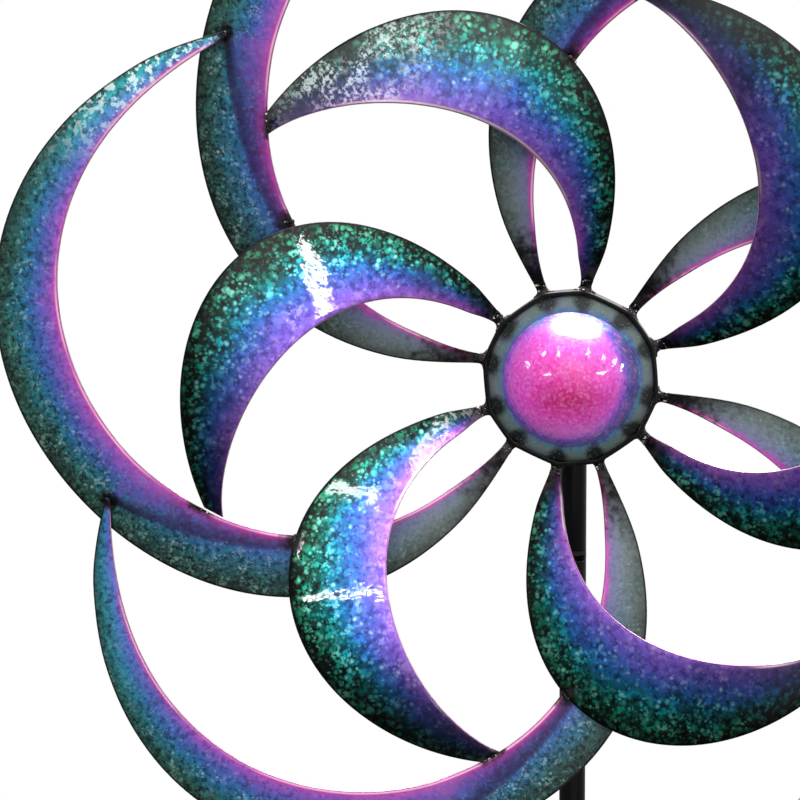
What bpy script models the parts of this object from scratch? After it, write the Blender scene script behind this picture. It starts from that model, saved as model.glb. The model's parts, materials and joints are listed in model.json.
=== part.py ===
"""Wind spinner: a twelve-blade sheet-steel wheel on a ball-bearing hub, carried by a
swivelling head on a three-piece pole with a forked ground stake.

Frame: origin on the pole axis at ground level (underside of the lower fork bar), +Z up,
the wheel faces -Y and spins about the Y direction.  Metres throughout.

Wheel, bearing and axle pieces are turned about a local Z that points forward (-Y), with
zero at the hub mid-plane.  Swivel head heights are measured from the wheel axis.
"""
import math
from typing import NamedTuple

import bmesh
import bpy
import numpy as np
from mathutils import Matrix

MM = 0.001
GAP = 0.3 * MM                 # clearance left between neighbouring solids

# Shared dimensions; each section adds its own
HUB_HEIGHT = 1590 * MM         # ground to wheel axis
HUB_FORWARD = 46 * MM          # pole axis to hub mid-plane, towards -Y
AXLE_R = 4.0 * MM
SLEEVE_R = 8.0 * MM            # swivel sleeve
POLE_R = 8.0 * MM
POLE_BORE_R = 6.8 * MM
SCREW_R = 2.5 * MM             # pole joint screws and socket thumb screw
SCREW_HOLE_R = SCREW_R + GAP

# Rotations that aim a piece's own +Z
FORWARD = (math.pi / 2, 0.0, 0.0)       # towards -Y
SIDEWAYS = (0.0, math.pi / 2, 0.0)      # towards +X

# ======================================================================= scene
for old in list(bpy.data.objects):
    bpy.data.objects.remove(old, do_unlink=True)


def collection(name):
    group = bpy.data.collections.new(name)
    bpy.context.scene.collection.children.link(group)
    return group


spinner = collection("wind_spinner")
cutters = collection("cutters")


# ======================================================================= materials
def material(name, colour, roughness, metallic):
    mat = bpy.data.materials.new(name)
    mat.use_nodes = True
    shader = mat.node_tree.nodes["Principled BSDF"]
    shader.inputs["Base Color"].default_value = (*colour, 1.0)
    shader.inputs["Roughness"].default_value = roughness
    shader.inputs["Metallic"].default_value = metallic
    return mat


ENAMEL_TEAL = material("blade_enamel_bright", colour=(0.03, 0.30, 0.36),
                       roughness=0.22, metallic=0.6)
ENAMEL_BLUE = material("blade_enamel_deep", colour=(0.06, 0.20, 0.32),
                       roughness=0.28, metallic=0.6)
ENAMEL_PINK = material("dome_enamel", colour=(0.72, 0.10, 0.45),
                       roughness=0.18, metallic=0.6)
ENAMEL_GREY = material("flange_enamel", colour=(0.10, 0.14, 0.13),
                       roughness=0.35, metallic=0.5)
BLACK = material("black_powder_coat", colour=(0.012, 0.012, 0.013),
                 roughness=0.42, metallic=0.2)
STEEL = material("zinc_steel", colour=(0.55, 0.56, 0.58), roughness=0.32, metallic=1.0)
BEARING_STEEL = material("bearing_steel", colour=(0.68, 0.68, 0.70),
                         roughness=0.18, metallic=1.0)
BRASS = material("cage_brass", colour=(0.62, 0.44, 0.16), roughness=0.35, metallic=1.0)
NYLON = material("bush_nylon", colour=(0.80, 0.79, 0.74), roughness=0.5, metallic=0.0)


# ======================================================================= helpers
def empty(name, location, rotation=(0.0, 0.0, 0.0), parent=None):
    obj = bpy.data.objects.new(name, None)
    obj.empty_display_size = 20 * MM
    spinner.objects.link(obj)
    obj.location = location
    obj.rotation_euler = rotation
    obj.parent = parent
    return obj


def add(name, mesh, finish, smooth=0.0, is_cutter=False,
        parent=None, location=(0.0, 0.0, 0.0), rotation=(0.0, 0.0, 0.0)):
    """Place a mesh.  smooth is the sharp-edge angle in degrees, 0 for flat shading."""
    mesh.materials.append(finish)
    obj = bpy.data.objects.new(name, mesh)
    (cutters if is_cutter else spinner).objects.link(obj)
    obj.location = location
    obj.rotation_euler = rotation
    obj.parent = parent
    if smooth:
        mesh.shade_smooth()
        mesh.set_sharp_from_angle(angle=math.radians(smooth))
    if is_cutter:
        obj.hide_render = True
        obj.display_type = "WIRE"
    return obj


def cut(obj, tool, operation="DIFFERENCE"):
    boolean = obj.modifiers.new("cut_" + tool.name, "BOOLEAN")
    boolean.operation = operation
    boolean.solver = "EXACT"
    boolean.object = tool


def turned(name, profile, finish, steps, **where):
    """A turned shape about its own Z.  profile is (radius, z), running down its outer side.

    A profile that starts on the axis also ends there; any other is closed into a ring.
    """
    count = len(profile)
    edges = [(i, i + 1) for i in range(count - 1)]
    if profile[0][0] > 0.0:
        edges.append((count - 1, 0))
    mesh = bpy.data.meshes.new(name)
    mesh.from_pydata([(radius, 0.0, z) for radius, z in profile], edges, [])
    obj = add(name, mesh, finish, **where)
    screw = obj.modifiers.new("turn", "SCREW")
    screw.axis = "Z"
    screw.angle = math.tau
    screw.steps = steps
    screw.render_steps = steps
    screw.use_merge_vertices = True
    screw.merge_threshold = 0.01 * MM
    screw.use_smooth_shade = False
    return obj


def outer_side(radius, bottom, top, chamfer):
    """Profile points down a cylinder's side, with the chamfer at both ends."""
    if not chamfer:
        return [(radius, top), (radius, bottom)]
    return [(radius - chamfer, top), (radius, top - chamfer),
            (radius, bottom + chamfer), (radius - chamfer, bottom)]


def tube(name, outer, inner, bottom, top, finish, steps, chamfer=0.0, **where):
    profile = outer_side(outer, bottom, top, chamfer) + [(inner, bottom), (inner, top)]
    return turned(name, profile, finish, steps, **where)


def rod_cutter(name, radius, bottom, top, steps, chamfer=0.0, **where):
    profile = [(0.0, top)] + outer_side(radius, bottom, top, chamfer) + [(0.0, bottom)]
    return turned(name, profile, BLACK, steps, is_cutter=True, **where)


def cross_hole(target, name, height, reach_from, reach_to):
    """Drill a screw hole along X between the two x positions."""
    tool = rod_cutter(name, SCREW_HOLE_R, reach_from, reach_to, steps=12,
                      location=(0, 0, height), rotation=SIDEWAYS)
    cut(target, tool)


def polygon(builder, radius, count, start=0.0):
    """Add a regular polygon to a bmesh, first corner at start degrees; returns its edges."""
    angles = [math.radians(start + 360 * k / count) for k in range(count)]
    verts = [builder.verts.new((radius * math.cos(angle), radius * math.sin(angle), 0.0))
             for angle in angles]
    return [builder.edges.new((verts[k], verts[(k + 1) % count])) for k in range(count)]


def hexagon_nut(name, across_flats, bore, thickness, **where):
    """A plain hexagon prism with a round bore, from z = 0 up to its thickness."""
    builder = bmesh.new()
    edges = polygon(builder, across_flats / math.sqrt(3), 6, start=30)
    edges += polygon(builder, bore, 16)
    bmesh.ops.triangle_fill(builder, edges=edges, use_beauty=True)
    base = list(builder.faces)
    bmesh.ops.recalc_face_normals(builder, faces=base)
    extruded = bmesh.ops.extrude_face_region(builder, geom=base)
    top = [part for part in extruded["geom"] if isinstance(part, bmesh.types.BMVert)]
    bmesh.ops.translate(builder, verts=top, vec=(0.0, 0.0, thickness))
    bmesh.ops.recalc_face_normals(builder, faces=list(builder.faces))
    mesh = bpy.data.meshes.new(name)
    builder.to_mesh(mesh)
    builder.free()
    return add(name, mesh, STEEL, smooth=20.0, **where)


def ball_mesh(name, radius, centres):
    builder = bmesh.new()
    for centre in centres:
        bmesh.ops.create_icosphere(builder, subdivisions=2, radius=radius,
                                   matrix=Matrix.Translation(centre))
    mesh = bpy.data.meshes.new(name)
    builder.to_mesh(mesh)
    builder.free()
    return mesh


# ======================================================================= axes
head_axis = empty("head_swivel_axis", (0.0, 0.0, HUB_HEIGHT))
wheel_axis = empty("wheel_spin_axis", (0.0, -HUB_FORWARD, 0.0), FORWARD, head_axis)
# the same line as the wheel axis, for pieces that do not spin
AXLE_LINE = dict(parent=head_axis, location=(0.0, -HUB_FORWARD, 0.0), rotation=FORWARD)


# ======================================================================= wheel blades
class Ring(NamedTuple):
    """One ring of blades.

    Each edge of the flat blade is one cubic curve from root to tip, given by four control
    points (radius mm, degrees from the blade's own root in its sweep direction).
    """
    sweep: int      # seen from the front, 1 anticlockwise or -1 clockwise
    root: float     # degrees from +X, root of blade 1
    outer: tuple    # control points of the outer edge
    inner: tuple    # control points of the inner edge
    rise: float     # forward bend: height of the tip, mm
    crown: float    # forward bend: extra height at mid-length, mm
    lean: float     # shift of the crown towards the tip, mm


FRONT = Ring(sweep=1, root=22.5,
             outer=((50.5, -6.0), (200.0, -11.6), (254.0, 23.5), (211.0, 55.6)),
             inner=((50.5, 3.6), (159.0, 2.6), (195.5, 42.0), (204.0, 57.4)),
             rise=50.0, crown=22.6, lean=5.0)
BACK = Ring(sweep=-1, root=45.5,
            outer=((50.5, -6.6), (315.0, -13.0), (470.0, 54.0), (256.0, 91.4)),
            inner=((50.5, 1.4), (263.0, -0.6), (388.0, 55.5), (252.0, 90.6)),
            rise=56.7, crown=28.6, lean=-10.0)
BLADES_PER_RING = 6
BLADE_STEP = 360.0 / BLADES_PER_RING
SHEET = 0.8 * MM               # sheet thickness
TIP_WELD_GAP = 0.4 * MM        # front blade tip to the inner edge it is welded to
TWIST_START = 0.72             # fraction of a front blade's length where its twist begins
STATIONS = 25                  # sheet facets along a blade
STRIPS = 2                     # sheet facets across a blade
CURVE_SAMPLES = 400            # points worked out along each edge curve
HOST_STATIONS = 200            # points along the edge a front tip is matched to


def polar(radius_mm, degrees):
    angle = math.radians(degrees)
    return np.array([radius_mm * MM * math.cos(angle), radius_mm * MM * math.sin(angle)])


def edge_curve(control, root, sweep):
    """One edge of the flat blade, as points from root to tip."""
    start, pull_start, pull_end, end = [polar(radius, root + sweep * degrees)
                                        for radius, degrees in control]
    t = np.linspace(0.0, 1.0, CURVE_SAMPLES)[:, None]
    return ((1 - t) ** 3 * start + 3 * (1 - t) ** 2 * t * pull_start
            + 3 * (1 - t) * t ** 2 * pull_end + t ** 3 * end)


def distance_to(curve, point):
    """Shortest distance from a point to a polyline."""
    start, step = curve[:-1], np.diff(curve, axis=0)
    along = ((point - start) * step).sum(1) / (step ** 2).sum(1)
    foot = start + np.clip(along, 0.0, 1.0)[:, None] * step
    return np.hypot(*(point - foot).T).min()


def trimmed(curve, fence):
    """The curve, its tip half cut off where it first comes within the weld gap of the fence."""
    for i in range(len(curve) // 2, len(curve)):
        if distance_to(fence, curve[i]) < TIP_WELD_GAP:
            return curve[:i]
    return curve


def spaced(curve, count):
    """The same curve with count + 1 points at equal distances."""
    length = np.concatenate([[0.0], np.cumsum(np.hypot(*np.diff(curve, axis=0).T))])
    where = np.linspace(0.0, length[-1], count + 1)
    return np.stack([np.interp(where, length, curve[:, k]) for k in (0, 1)], axis=1)


def host_root(root):
    """Root angle of the back blade that carries the tip of the front blade at root."""
    return root - FRONT.root + BACK.root + BLADE_STEP


def blade_edges(ring, root):
    """Outer and inner edge of a blade whose root points at the given angle."""
    edges = [edge_curve(control, root, ring.sweep) for control in (ring.outer, ring.inner)]
    if ring is FRONT:
        fence = edge_curve(BACK.inner, host_root(root), BACK.sweep)
        edges = [trimmed(edge, fence) for edge in edges]
    return edges


def bend(ring, along):
    """Forward height of the sheet at a fraction of its length."""
    crown = 4.0 * along * (1.0 - along) * (ring.crown + ring.lean * (2.0 * along - 1.0))
    return (ring.rise * along + crown) * MM


def blade_grid(ring, root, stations, strips):
    """Mid-surface points of a bent blade, as an array [station, strip, xyz]."""
    outer, inner = [spaced(edge, stations) for edge in blade_edges(ring, root)]
    across = np.linspace(0.0, 1.0, strips + 1)[None, :, None]
    flat = outer[:, None, :] * (1.0 - across) + inner[:, None, :] * across
    along = np.linspace(0.0, 1.0, stations + 1)
    height = np.tile(bend(ring, along)[:, None], strips + 1)
    if ring is FRONT:
        # twist the end until the blunt tip lies along the inner edge it is welded to
        host = blade_grid(BACK, host_root(root), HOST_STATIONS, STRIPS)[:, -1]
        ease = np.clip((along - TWIST_START) / (1.0 - TWIST_START), 0.0, 1.0)
        ease = ease ** 2 * (3.0 - 2.0 * ease)
        for j in range(strips + 1):
            nearest = np.hypot(*(host[:, :2] - flat[-1, j]).T).argmin()
            height[:, j] += (host[nearest, 2] - height[-1, j]) * ease
    return np.concatenate([flat, height[:, :, None]], axis=2)


def blade(name, ring, root, finish):
    grid = blade_grid(ring, root, STATIONS, STRIPS)
    columns = STRIPS + 1
    faces = []
    for i in range(STATIONS):
        for j in range(STRIPS):
            corner = i * columns + j
            face = (corner, corner + 1, corner + 1 + columns, corner + columns)
            # the rings sweep opposite ways, so the back ring winds its faces in reverse
            faces.append(face if ring is FRONT else (face[0], face[3], face[2], face[1]))
    mesh = bpy.data.meshes.new(name)
    mesh.from_pydata(grid.reshape(-1, 3).tolist(), [], faces)
    obj = add(name, mesh, finish, smooth=40.0, parent=wheel_axis)
    sheet = obj.modifiers.new("sheet", "SOLIDIFY")
    sheet.thickness = SHEET
    sheet.offset = 0.0
    sheet.use_rim = True


for k in range(BLADES_PER_RING):
    blade(f"front_blade_{k + 1}", FRONT, FRONT.root + BLADE_STEP * k, ENAMEL_TEAL)
    blade(f"back_blade_{k + 1}", BACK, BACK.root + BLADE_STEP * k, ENAMEL_BLUE)

# ======================================================================= hub
RIM_R = 50.0 * MM
RIM_BORE_R = RIM_R - 3.2 * MM
RIM_HALF = 8.0 * MM
RIM_LIP = 0.8 * MM             # chamfers on the front edge
PLATE = 1.0 * MM               # thickness of flange, rear plate and dome
PLATE_R = RIM_BORE_R - GAP
FLANGE_FACE = 9.0 * MM         # front of the flange's flat middle
FLANGE_EDGE = 6.6 * MM         # front of the flange at its outer edge
REAR_PLATE_FACE = -5.5 * MM
DOME_R = 37.5 * MM
DOME_HEIGHT = 24.0 * MM
DOME_BASE = FLANGE_FACE + GAP
FLANGE_FLAT_R = DOME_R + 1.5 * MM
HOUSING_R = 13.5 * MM
HOUSING_HALF = 17.0 * MM
HOUSING_BORE_R = 9.6 * MM      # between the two bearing seats
PLATE_BORE_R = HOUSING_R + GAP

# ball bearings, 8 x 22 x 7
BEARING_R = 11.0 * MM
BEARING_HALF = 3.5 * MM
BEARING_CENTRE = 12.6 * MM     # each side of the hub mid-plane
SEAT_R = BEARING_R + GAP
SHOULDER = BEARING_CENTRE - BEARING_HALF - GAP      # hub mid-plane to a seat's inner end

turned("hub_rim",
       [(RIM_R - RIM_LIP, RIM_HALF), (RIM_R, RIM_HALF - RIM_LIP), (RIM_R, -RIM_HALF),
        (RIM_BORE_R, -RIM_HALF), (RIM_BORE_R, RIM_HALF - RIM_LIP),
        (RIM_BORE_R + RIM_LIP, RIM_HALF)],
       BLACK, steps=32, parent=wheel_axis)

turned("hub_flange",
       [(PLATE_BORE_R, FLANGE_FACE), (FLANGE_FLAT_R, FLANGE_FACE), (PLATE_R, FLANGE_EDGE),
        (PLATE_R, FLANGE_EDGE - PLATE), (FLANGE_FLAT_R, FLANGE_FACE - PLATE),
        (PLATE_BORE_R, FLANGE_FACE - PLATE)],
       ENAMEL_GREY, steps=32, parent=wheel_axis)

turned("rear_hub_plate",
       [(PLATE_BORE_R, REAR_PLATE_FACE), (PLATE_R, REAR_PLATE_FACE),
        (PLATE_R, REAR_PLATE_FACE - PLATE), (PLATE_BORE_R, REAR_PLATE_FACE - PLATE)],
       BLACK, steps=32, parent=wheel_axis)


def cap_arc(radius, rim, centre, count):
    """Profile of a spherical cap, from the axis out to the rim radius."""
    limit = math.asin(rim / radius)
    return [(radius * math.sin(limit * i / count), centre + radius * math.cos(limit * i / count))
            for i in range(count + 1)]


# dome cap: a spherical sheet cap, open at the back, its inner edge brought to the base
sphere_r = (DOME_R ** 2 + DOME_HEIGHT ** 2) / (2.0 * DOME_HEIGHT)
dome_centre = DOME_BASE + DOME_HEIGHT - sphere_r
outside = cap_arc(sphere_r, DOME_R, dome_centre, count=6)
inside = cap_arc(sphere_r - PLATE, DOME_R - PLATE, dome_centre, count=4)
inside[-1] = (DOME_R - PLATE, DOME_BASE)
turned("dome_cap", outside + inside[::-1], ENAMEL_PINK, steps=30, parent=wheel_axis)

# bearing housing: a turned tube with a seat at each end and a shoulder between
turned("hub_housing",
       [(HOUSING_R, HOUSING_HALF), (HOUSING_R, -HOUSING_HALF), (SEAT_R, -HOUSING_HALF),
        (SEAT_R, -SHOULDER), (HOUSING_BORE_R, -SHOULDER), (HOUSING_BORE_R, SHOULDER),
        (SEAT_R, SHOULDER), (SEAT_R, HOUSING_HALF)],
       BLACK, steps=28, parent=wheel_axis)

# ======================================================================= ball bearings
BALLS = 7
BALL_R = 1.95 * MM
BALL_PITCH_R = 7.6 * MM
GROOVE_R = BALL_R + 0.25 * MM
OUTER_RING_BORE_R = 9.2 * MM
INNER_RING_R = 6.0 * MM
AXLE_HOLE_R = AXLE_R + GAP
CAGE_HALF_WALL = 0.45 * MM
CAGE_HALF = 1.1 * MM


def groove(ring_r, sign, count=4):
    """Ball groove in a ring's profile, z rising; sign 1 bulges outwards, -1 inwards."""
    limit = math.acos(abs(ring_r - BALL_PITCH_R) / GROOVE_R)
    angles = [limit * (2.0 * i / count - 1.0) for i in range(count + 1)]
    return [(BALL_PITCH_R + sign * GROOVE_R * math.cos(angle), GROOVE_R * math.sin(angle))
            for angle in angles]


outer_ring = [(BEARING_R, BEARING_HALF), (BEARING_R, -BEARING_HALF),
              (OUTER_RING_BORE_R, -BEARING_HALF), *groove(OUTER_RING_BORE_R, 1),
              (OUTER_RING_BORE_R, BEARING_HALF)]
inner_ring = [(INNER_RING_R, BEARING_HALF), *groove(INNER_RING_R, -1)[::-1],
              (INNER_RING_R, -BEARING_HALF), (AXLE_HOLE_R, -BEARING_HALF),
              (AXLE_HOLE_R, BEARING_HALF)]


def ball_cage(name, centre):
    """Cage ring with its balls held in it, as one body."""
    angles = [math.tau * k / BALLS for k in range(BALLS)]
    places = [(BALL_PITCH_R * math.cos(angle), BALL_PITCH_R * math.sin(angle), 0)
              for angle in angles]
    balls = add(name + "_balls", ball_mesh(name + "_balls", BALL_R, places), BEARING_STEEL,
                is_cutter=True, parent=wheel_axis, location=(0, 0, centre))
    cage = tube(name, BALL_PITCH_R + CAGE_HALF_WALL, BALL_PITCH_R - CAGE_HALF_WALL,
                -CAGE_HALF, CAGE_HALF, BRASS, steps=21,
                parent=wheel_axis, location=(0, 0, centre))
    cut(cage, balls, "UNION")


# outer rings and cages spin with the wheel, inner rings stay with the axle
for side, centre in (("front", BEARING_CENTRE), ("rear", -BEARING_CENTRE)):
    turned(f"{side}_bearing_outer_ring", outer_ring, BEARING_STEEL, steps=22,
           parent=wheel_axis, location=(0, 0, centre))
    turned(f"{side}_bearing_inner_ring", inner_ring, BEARING_STEEL, steps=22,
           parent=head_axis, location=(0, -HUB_FORWARD - centre, 0), rotation=FORWARD)
    ball_cage(f"{side}_bearing_ball_cage", centre)

# ======================================================================= axle
AXLE_FRONT = 26.0 * MM
AXLE_TAIL = -HUB_FORWARD + SLEEVE_R + 2.7 * MM
AXLE_CHAMFER = 0.5 * MM
CLAMP = BEARING_CENTRE + BEARING_HALF + GAP         # hub mid-plane to collar or washer
COLLAR_R = 6.0 * MM
COLLAR_BACK = -CLAMP - 2.6 * MM
SPACER_R = 5.7 * MM
WASHER_R = 7.0 * MM
WASHER_FRONT = CLAMP + 1.5 * MM

turned("axle",
       [(0.0, AXLE_FRONT), (AXLE_R - AXLE_CHAMFER, AXLE_FRONT),
        (AXLE_R, AXLE_FRONT - AXLE_CHAMFER), (AXLE_R, -CLAMP), (COLLAR_R, -CLAMP),
        (COLLAR_R, COLLAR_BACK), (AXLE_R, COLLAR_BACK), (AXLE_R, AXLE_TAIL),
        (0.0, AXLE_TAIL)],
       STEEL, steps=20, **AXLE_LINE)
tube("bearing_spacer", SPACER_R, AXLE_HOLE_R, -SHOULDER, SHOULDER, STEEL, steps=22,
     **AXLE_LINE)
tube("axle_washer", WASHER_R, AXLE_HOLE_R, CLAMP, WASHER_FRONT, STEEL, steps=22, **AXLE_LINE)
hexagon_nut("axle_lock_nut", across_flats=13.0 * MM, bore=AXLE_HOLE_R, thickness=6.5 * MM,
            parent=head_axis, location=(0, -HUB_FORWARD - (WASHER_FRONT + GAP), 0),
            rotation=FORWARD)

# ======================================================================= swivel head
SLEEVE_BORE_R = 6.4 * MM
SLEEVE_TOP = 24.0 * MM
SLEEVE_BOTTOM = -110.0 * MM
BOSS_R = 9.0 * MM
BOSS_CHAMFER = 1.0 * MM
BOSS_FRONT = -22.0 * MM
BOSS_BACK = -HUB_FORWARD + 5.0 * MM
SADDLE_HALF = 30.0 * MM
CAP_TOP = SLEEVE_TOP + 3.3 * MM
CAP_CHAMFER = 1.2 * MM
PLUG_R = SLEEVE_BORE_R - GAP
PLUG_BOTTOM = SLEEVE_TOP - 5.0 * MM
PIN_R = 4.5 * MM
BUSH_FIT = 0.15 * MM           # bush clearance, on the pin and in the sleeve
BUSH_BORE_R = PIN_R + BUSH_FIT
BUSH_R = SLEEVE_BORE_R - BUSH_FIT
LOWER_BUSH_TOP = SLEEVE_BOTTOM + 16.0 * MM
LOWER_BUSH_BOTTOM = SLEEVE_BOTTOM - 2.3 * MM

tube("swivel_sleeve", SLEEVE_R, SLEEVE_BORE_R, SLEEVE_BOTTOM, SLEEVE_TOP, BLACK, steps=28,
     parent=head_axis)

# boss with a blind bore for the axle tail, its back hollowed to sit on the sleeve
boss = turned("axle_boss",
              [(0.0, AXLE_TAIL - GAP), (AXLE_HOLE_R, AXLE_TAIL - GAP),
               (AXLE_HOLE_R, BOSS_FRONT), (BOSS_R - BOSS_CHAMFER, BOSS_FRONT),
               (BOSS_R, BOSS_FRONT - BOSS_CHAMFER), (BOSS_R, BOSS_BACK), (0.0, BOSS_BACK)],
              BLACK, steps=24, **AXLE_LINE)
cut(boss, rod_cutter("boss_saddle", SLEEVE_R + GAP, -SADDLE_HALF, SADDLE_HALF, steps=40,
                     chamfer=0.4 * MM, parent=head_axis))

turned("sleeve_top_cap",
       [(0.0, CAP_TOP), (SLEEVE_R - CAP_CHAMFER, CAP_TOP), (SLEEVE_R, CAP_TOP - CAP_CHAMFER),
        (SLEEVE_R, SLEEVE_TOP + GAP), (PLUG_R, SLEEVE_TOP + GAP), (PLUG_R, PLUG_BOTTOM),
        (0.0, PLUG_BOTTOM)],
       BLACK, steps=28, parent=head_axis)

tube("upper_swivel_bush", BUSH_R, BUSH_BORE_R, bottom=-14 * MM, top=2 * MM, finish=NYLON,
     steps=24, parent=head_axis)
turned("lower_swivel_bush",
       [(BUSH_R, LOWER_BUSH_TOP), (BUSH_R, SLEEVE_BOTTOM - GAP),
        (SLEEVE_R, SLEEVE_BOTTOM - GAP), (SLEEVE_R, LOWER_BUSH_BOTTOM),
        (BUSH_BORE_R, LOWER_BUSH_BOTTOM), (BUSH_BORE_R, LOWER_BUSH_TOP)],
       NYLON, steps=24, parent=head_axis)

# ======================================================================= pole pin
# heights from the wheel axis; these pieces stand still while the head swivels
THRUST_BALL_R = 4.0 * MM
BALL_TOP = PLUG_BOTTOM - GAP
PIN_TOP = BALL_TOP - 2 * THRUST_BALL_R - GAP
PIN_CHAMFER = 0.6 * MM
PIN_COLLAR_TOP = LOWER_BUSH_BOTTOM - GAP
PIN_COLLAR_BOTTOM = PIN_COLLAR_TOP - 4.0 * MM
PIN_BOTTOM = PIN_COLLAR_TOP - 30.0 * MM
PIN_PLUG_R = POLE_BORE_R - GAP

add("thrust_ball", ball_mesh("thrust_ball", THRUST_BALL_R, [(0, 0, 0)]), BEARING_STEEL,
    smooth=30.0, location=(0, 0, HUB_HEIGHT + BALL_TOP - THRUST_BALL_R))

turned("pole_pin",
       [(0.0, PIN_TOP), (PIN_R - PIN_CHAMFER, PIN_TOP), (PIN_R, PIN_TOP - PIN_CHAMFER),
        (PIN_R, PIN_COLLAR_TOP), (POLE_R, PIN_COLLAR_TOP), (POLE_R, PIN_COLLAR_BOTTOM),
        (PIN_PLUG_R, PIN_COLLAR_BOTTOM), (PIN_PLUG_R, PIN_BOTTOM), (0.0, PIN_BOTTOM)],
       STEEL, steps=24, location=(0, 0, HUB_HEIGHT))

# ======================================================================= pole
NECK_R = 6.5 * MM              # swaged end that plugs into the next tube
NECK_BORE_R = 5.3 * MM
NECK_LENGTH = 45.0 * MM
NECK_CHAMFER = 0.6 * MM
POLE_BOTTOM = 11.0 * MM
LOWER_JOINT = 540.0 * MM       # heights above ground
UPPER_JOINT = 1010.0 * MM
POLE_TOP = HUB_HEIGHT + PIN_COLLAR_BOTTOM - GAP
JOINT_CLEAR = 1.2 * MM         # joint height to the foot of the next tube
JOINT_SCREW_RISE = 22.0 * MM   # screw above its joint
JOINT_HOLE_REACH = 20.0 * MM   # cutter length each side of the pole axis
JOINT_SCREW_TIP = 14.5 * MM    # x positions of screw tip and nut
JOINT_NUT_X = 8.4 * MM
JOINT_SCREW_CHAMFER = 0.4 * MM
# joint screw head, from under the head outwards: radius, x
JOINT_SCREW_HEAD = [(SCREW_R, -(POLE_R + GAP)), (4.6 * MM, -(POLE_R + GAP)),
                    (4.6 * MM, -10.0 * MM), (3.4 * MM, -11.6 * MM), (0.0, -12.0 * MM)]


def pole_tube(name, bottom, top, neck=True):
    """A pole tube; with a neck, top is the shoulder and the neck rises above it."""
    if neck:
        neck_top = top + NECK_LENGTH
        profile = [(NECK_R - NECK_CHAMFER, neck_top), (NECK_R, neck_top - NECK_CHAMFER),
                   (NECK_R, top + 1 * MM), (POLE_R, top), (POLE_R, bottom),
                   (POLE_BORE_R, bottom), (POLE_BORE_R, top - 3 * MM),
                   (NECK_BORE_R, top - 1 * MM), (NECK_BORE_R, neck_top)]
    else:
        profile = [(POLE_R, top), (POLE_R, bottom), (POLE_BORE_R, bottom), (POLE_BORE_R, top)]
    return turned(name, profile, BLACK, steps=28)


def pole_joint(label, joint, inner_tube, outer_tube):
    """Cross holes through neck and tube, and a screw along X with its head on the -X side."""
    height = joint + JOINT_SCREW_RISE
    for part, target in (("neck", inner_tube), ("tube", outer_tube)):
        cross_hole(target, f"{label}_{part}_hole", height, -JOINT_HOLE_REACH, JOINT_HOLE_REACH)
    turned(f"{label}_joint_screw",
           [(0.0, JOINT_SCREW_TIP), (SCREW_R - JOINT_SCREW_CHAMFER, JOINT_SCREW_TIP),
            (SCREW_R, JOINT_SCREW_TIP - JOINT_SCREW_CHAMFER), *JOINT_SCREW_HEAD],
           STEEL, steps=14, location=(0, 0, height), rotation=SIDEWAYS)
    hexagon_nut(f"{label}_joint_nut", across_flats=8.0 * MM, bore=SCREW_HOLE_R,
                thickness=4.0 * MM, location=(JOINT_NUT_X, 0, height), rotation=SIDEWAYS)


lower = pole_tube("lower_pole_tube", POLE_BOTTOM, LOWER_JOINT)
middle = pole_tube("middle_pole_tube", LOWER_JOINT + JOINT_CLEAR, UPPER_JOINT)
upper = pole_tube("upper_pole_tube", UPPER_JOINT + JOINT_CLEAR, POLE_TOP, neck=False)
pole_joint("lower", LOWER_JOINT, lower, middle)
pole_joint("upper", UPPER_JOINT, middle, upper)

# ======================================================================= ground stake
FORK_SPAN = 150.0 * MM
FORK_DEPTH = 210.0 * MM
FORK_BAR = 5.0 * MM            # bar thickness
FORK_WIDTH = 14.0 * MM
FORK_BEND_R = 14.0 * MM        # outside of the rounded shoulders
FORK_POINT = 28.0 * MM         # length of the sharpened leg ends
BEND_FACETS = 6


def fork_bar(name, top, turn):
    """U-shaped flat bar with rounded shoulders and sharpened legs, its crossbar at the top."""
    half = FORK_SPAN / 2
    point_top = -FORK_DEPTH + FORK_POINT

    def shoulder(radius):
        angles = [math.radians(90.0 * i / BEND_FACETS) for i in range(BEND_FACETS + 1)]
        return [(half - FORK_BEND_R + radius * math.cos(angle),
                 top - FORK_BEND_R + radius * math.sin(angle)) for angle in angles]

    right_out = [(half - FORK_BAR / 2, -FORK_DEPTH), (half, point_top),
                 *shoulder(FORK_BEND_R)]
    right_in = [(half - FORK_BAR, point_top), *shoulder(FORK_BEND_R - FORK_BAR)]
    outline = right_out + [(-x, z) for x, z in right_out[::-1]]
    outline += [(-x, z) for x, z in right_in] + right_in[::-1]
    curve = bpy.data.curves.new(name, "CURVE")
    curve.dimensions = "2D"
    curve.fill_mode = "BOTH"
    curve.extrude = FORK_WIDTH / 2
    spline = curve.splines.new("POLY")
    spline.points.add(len(outline) - 1)
    for point, (x, z) in zip(spline.points, outline):
        point.co = (x, z, 0.0, 1.0)
    spline.use_cyclic_u = True
    curve.materials.append(BLACK)
    obj = bpy.data.objects.new(name, curve)
    spinner.objects.link(obj)
    obj.rotation_euler = (math.pi / 2, 0.0, turn)
    weld = obj.modifiers.new("weld", "WELD")
    weld.merge_threshold = 0.01 * MM


fork_bar("lower_fork_bar", top=FORK_BAR, turn=0.0)
fork_bar("upper_fork_bar", top=2 * FORK_BAR + GAP, turn=math.pi / 2)

# ======================================================================= pole socket
SOCKET_R = 10.2 * MM
SOCKET_BORE_R = 8.4 * MM
SOCKET_BOTTOM = 2 * FORK_BAR + 2 * GAP
SOCKET_TOP = 75.0 * MM
THUMB_SCREW_HEIGHT = 55.0 * MM
THUMB_SCREW_TIP = POLE_R + GAP          # x, as are the knob ends
THUMB_SCREW_CHAMFER = 0.7 * MM
KNOB_R = 8.0 * MM
KNOB_START = 23.0 * MM
KNOB_END = 30.0 * MM

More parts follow.
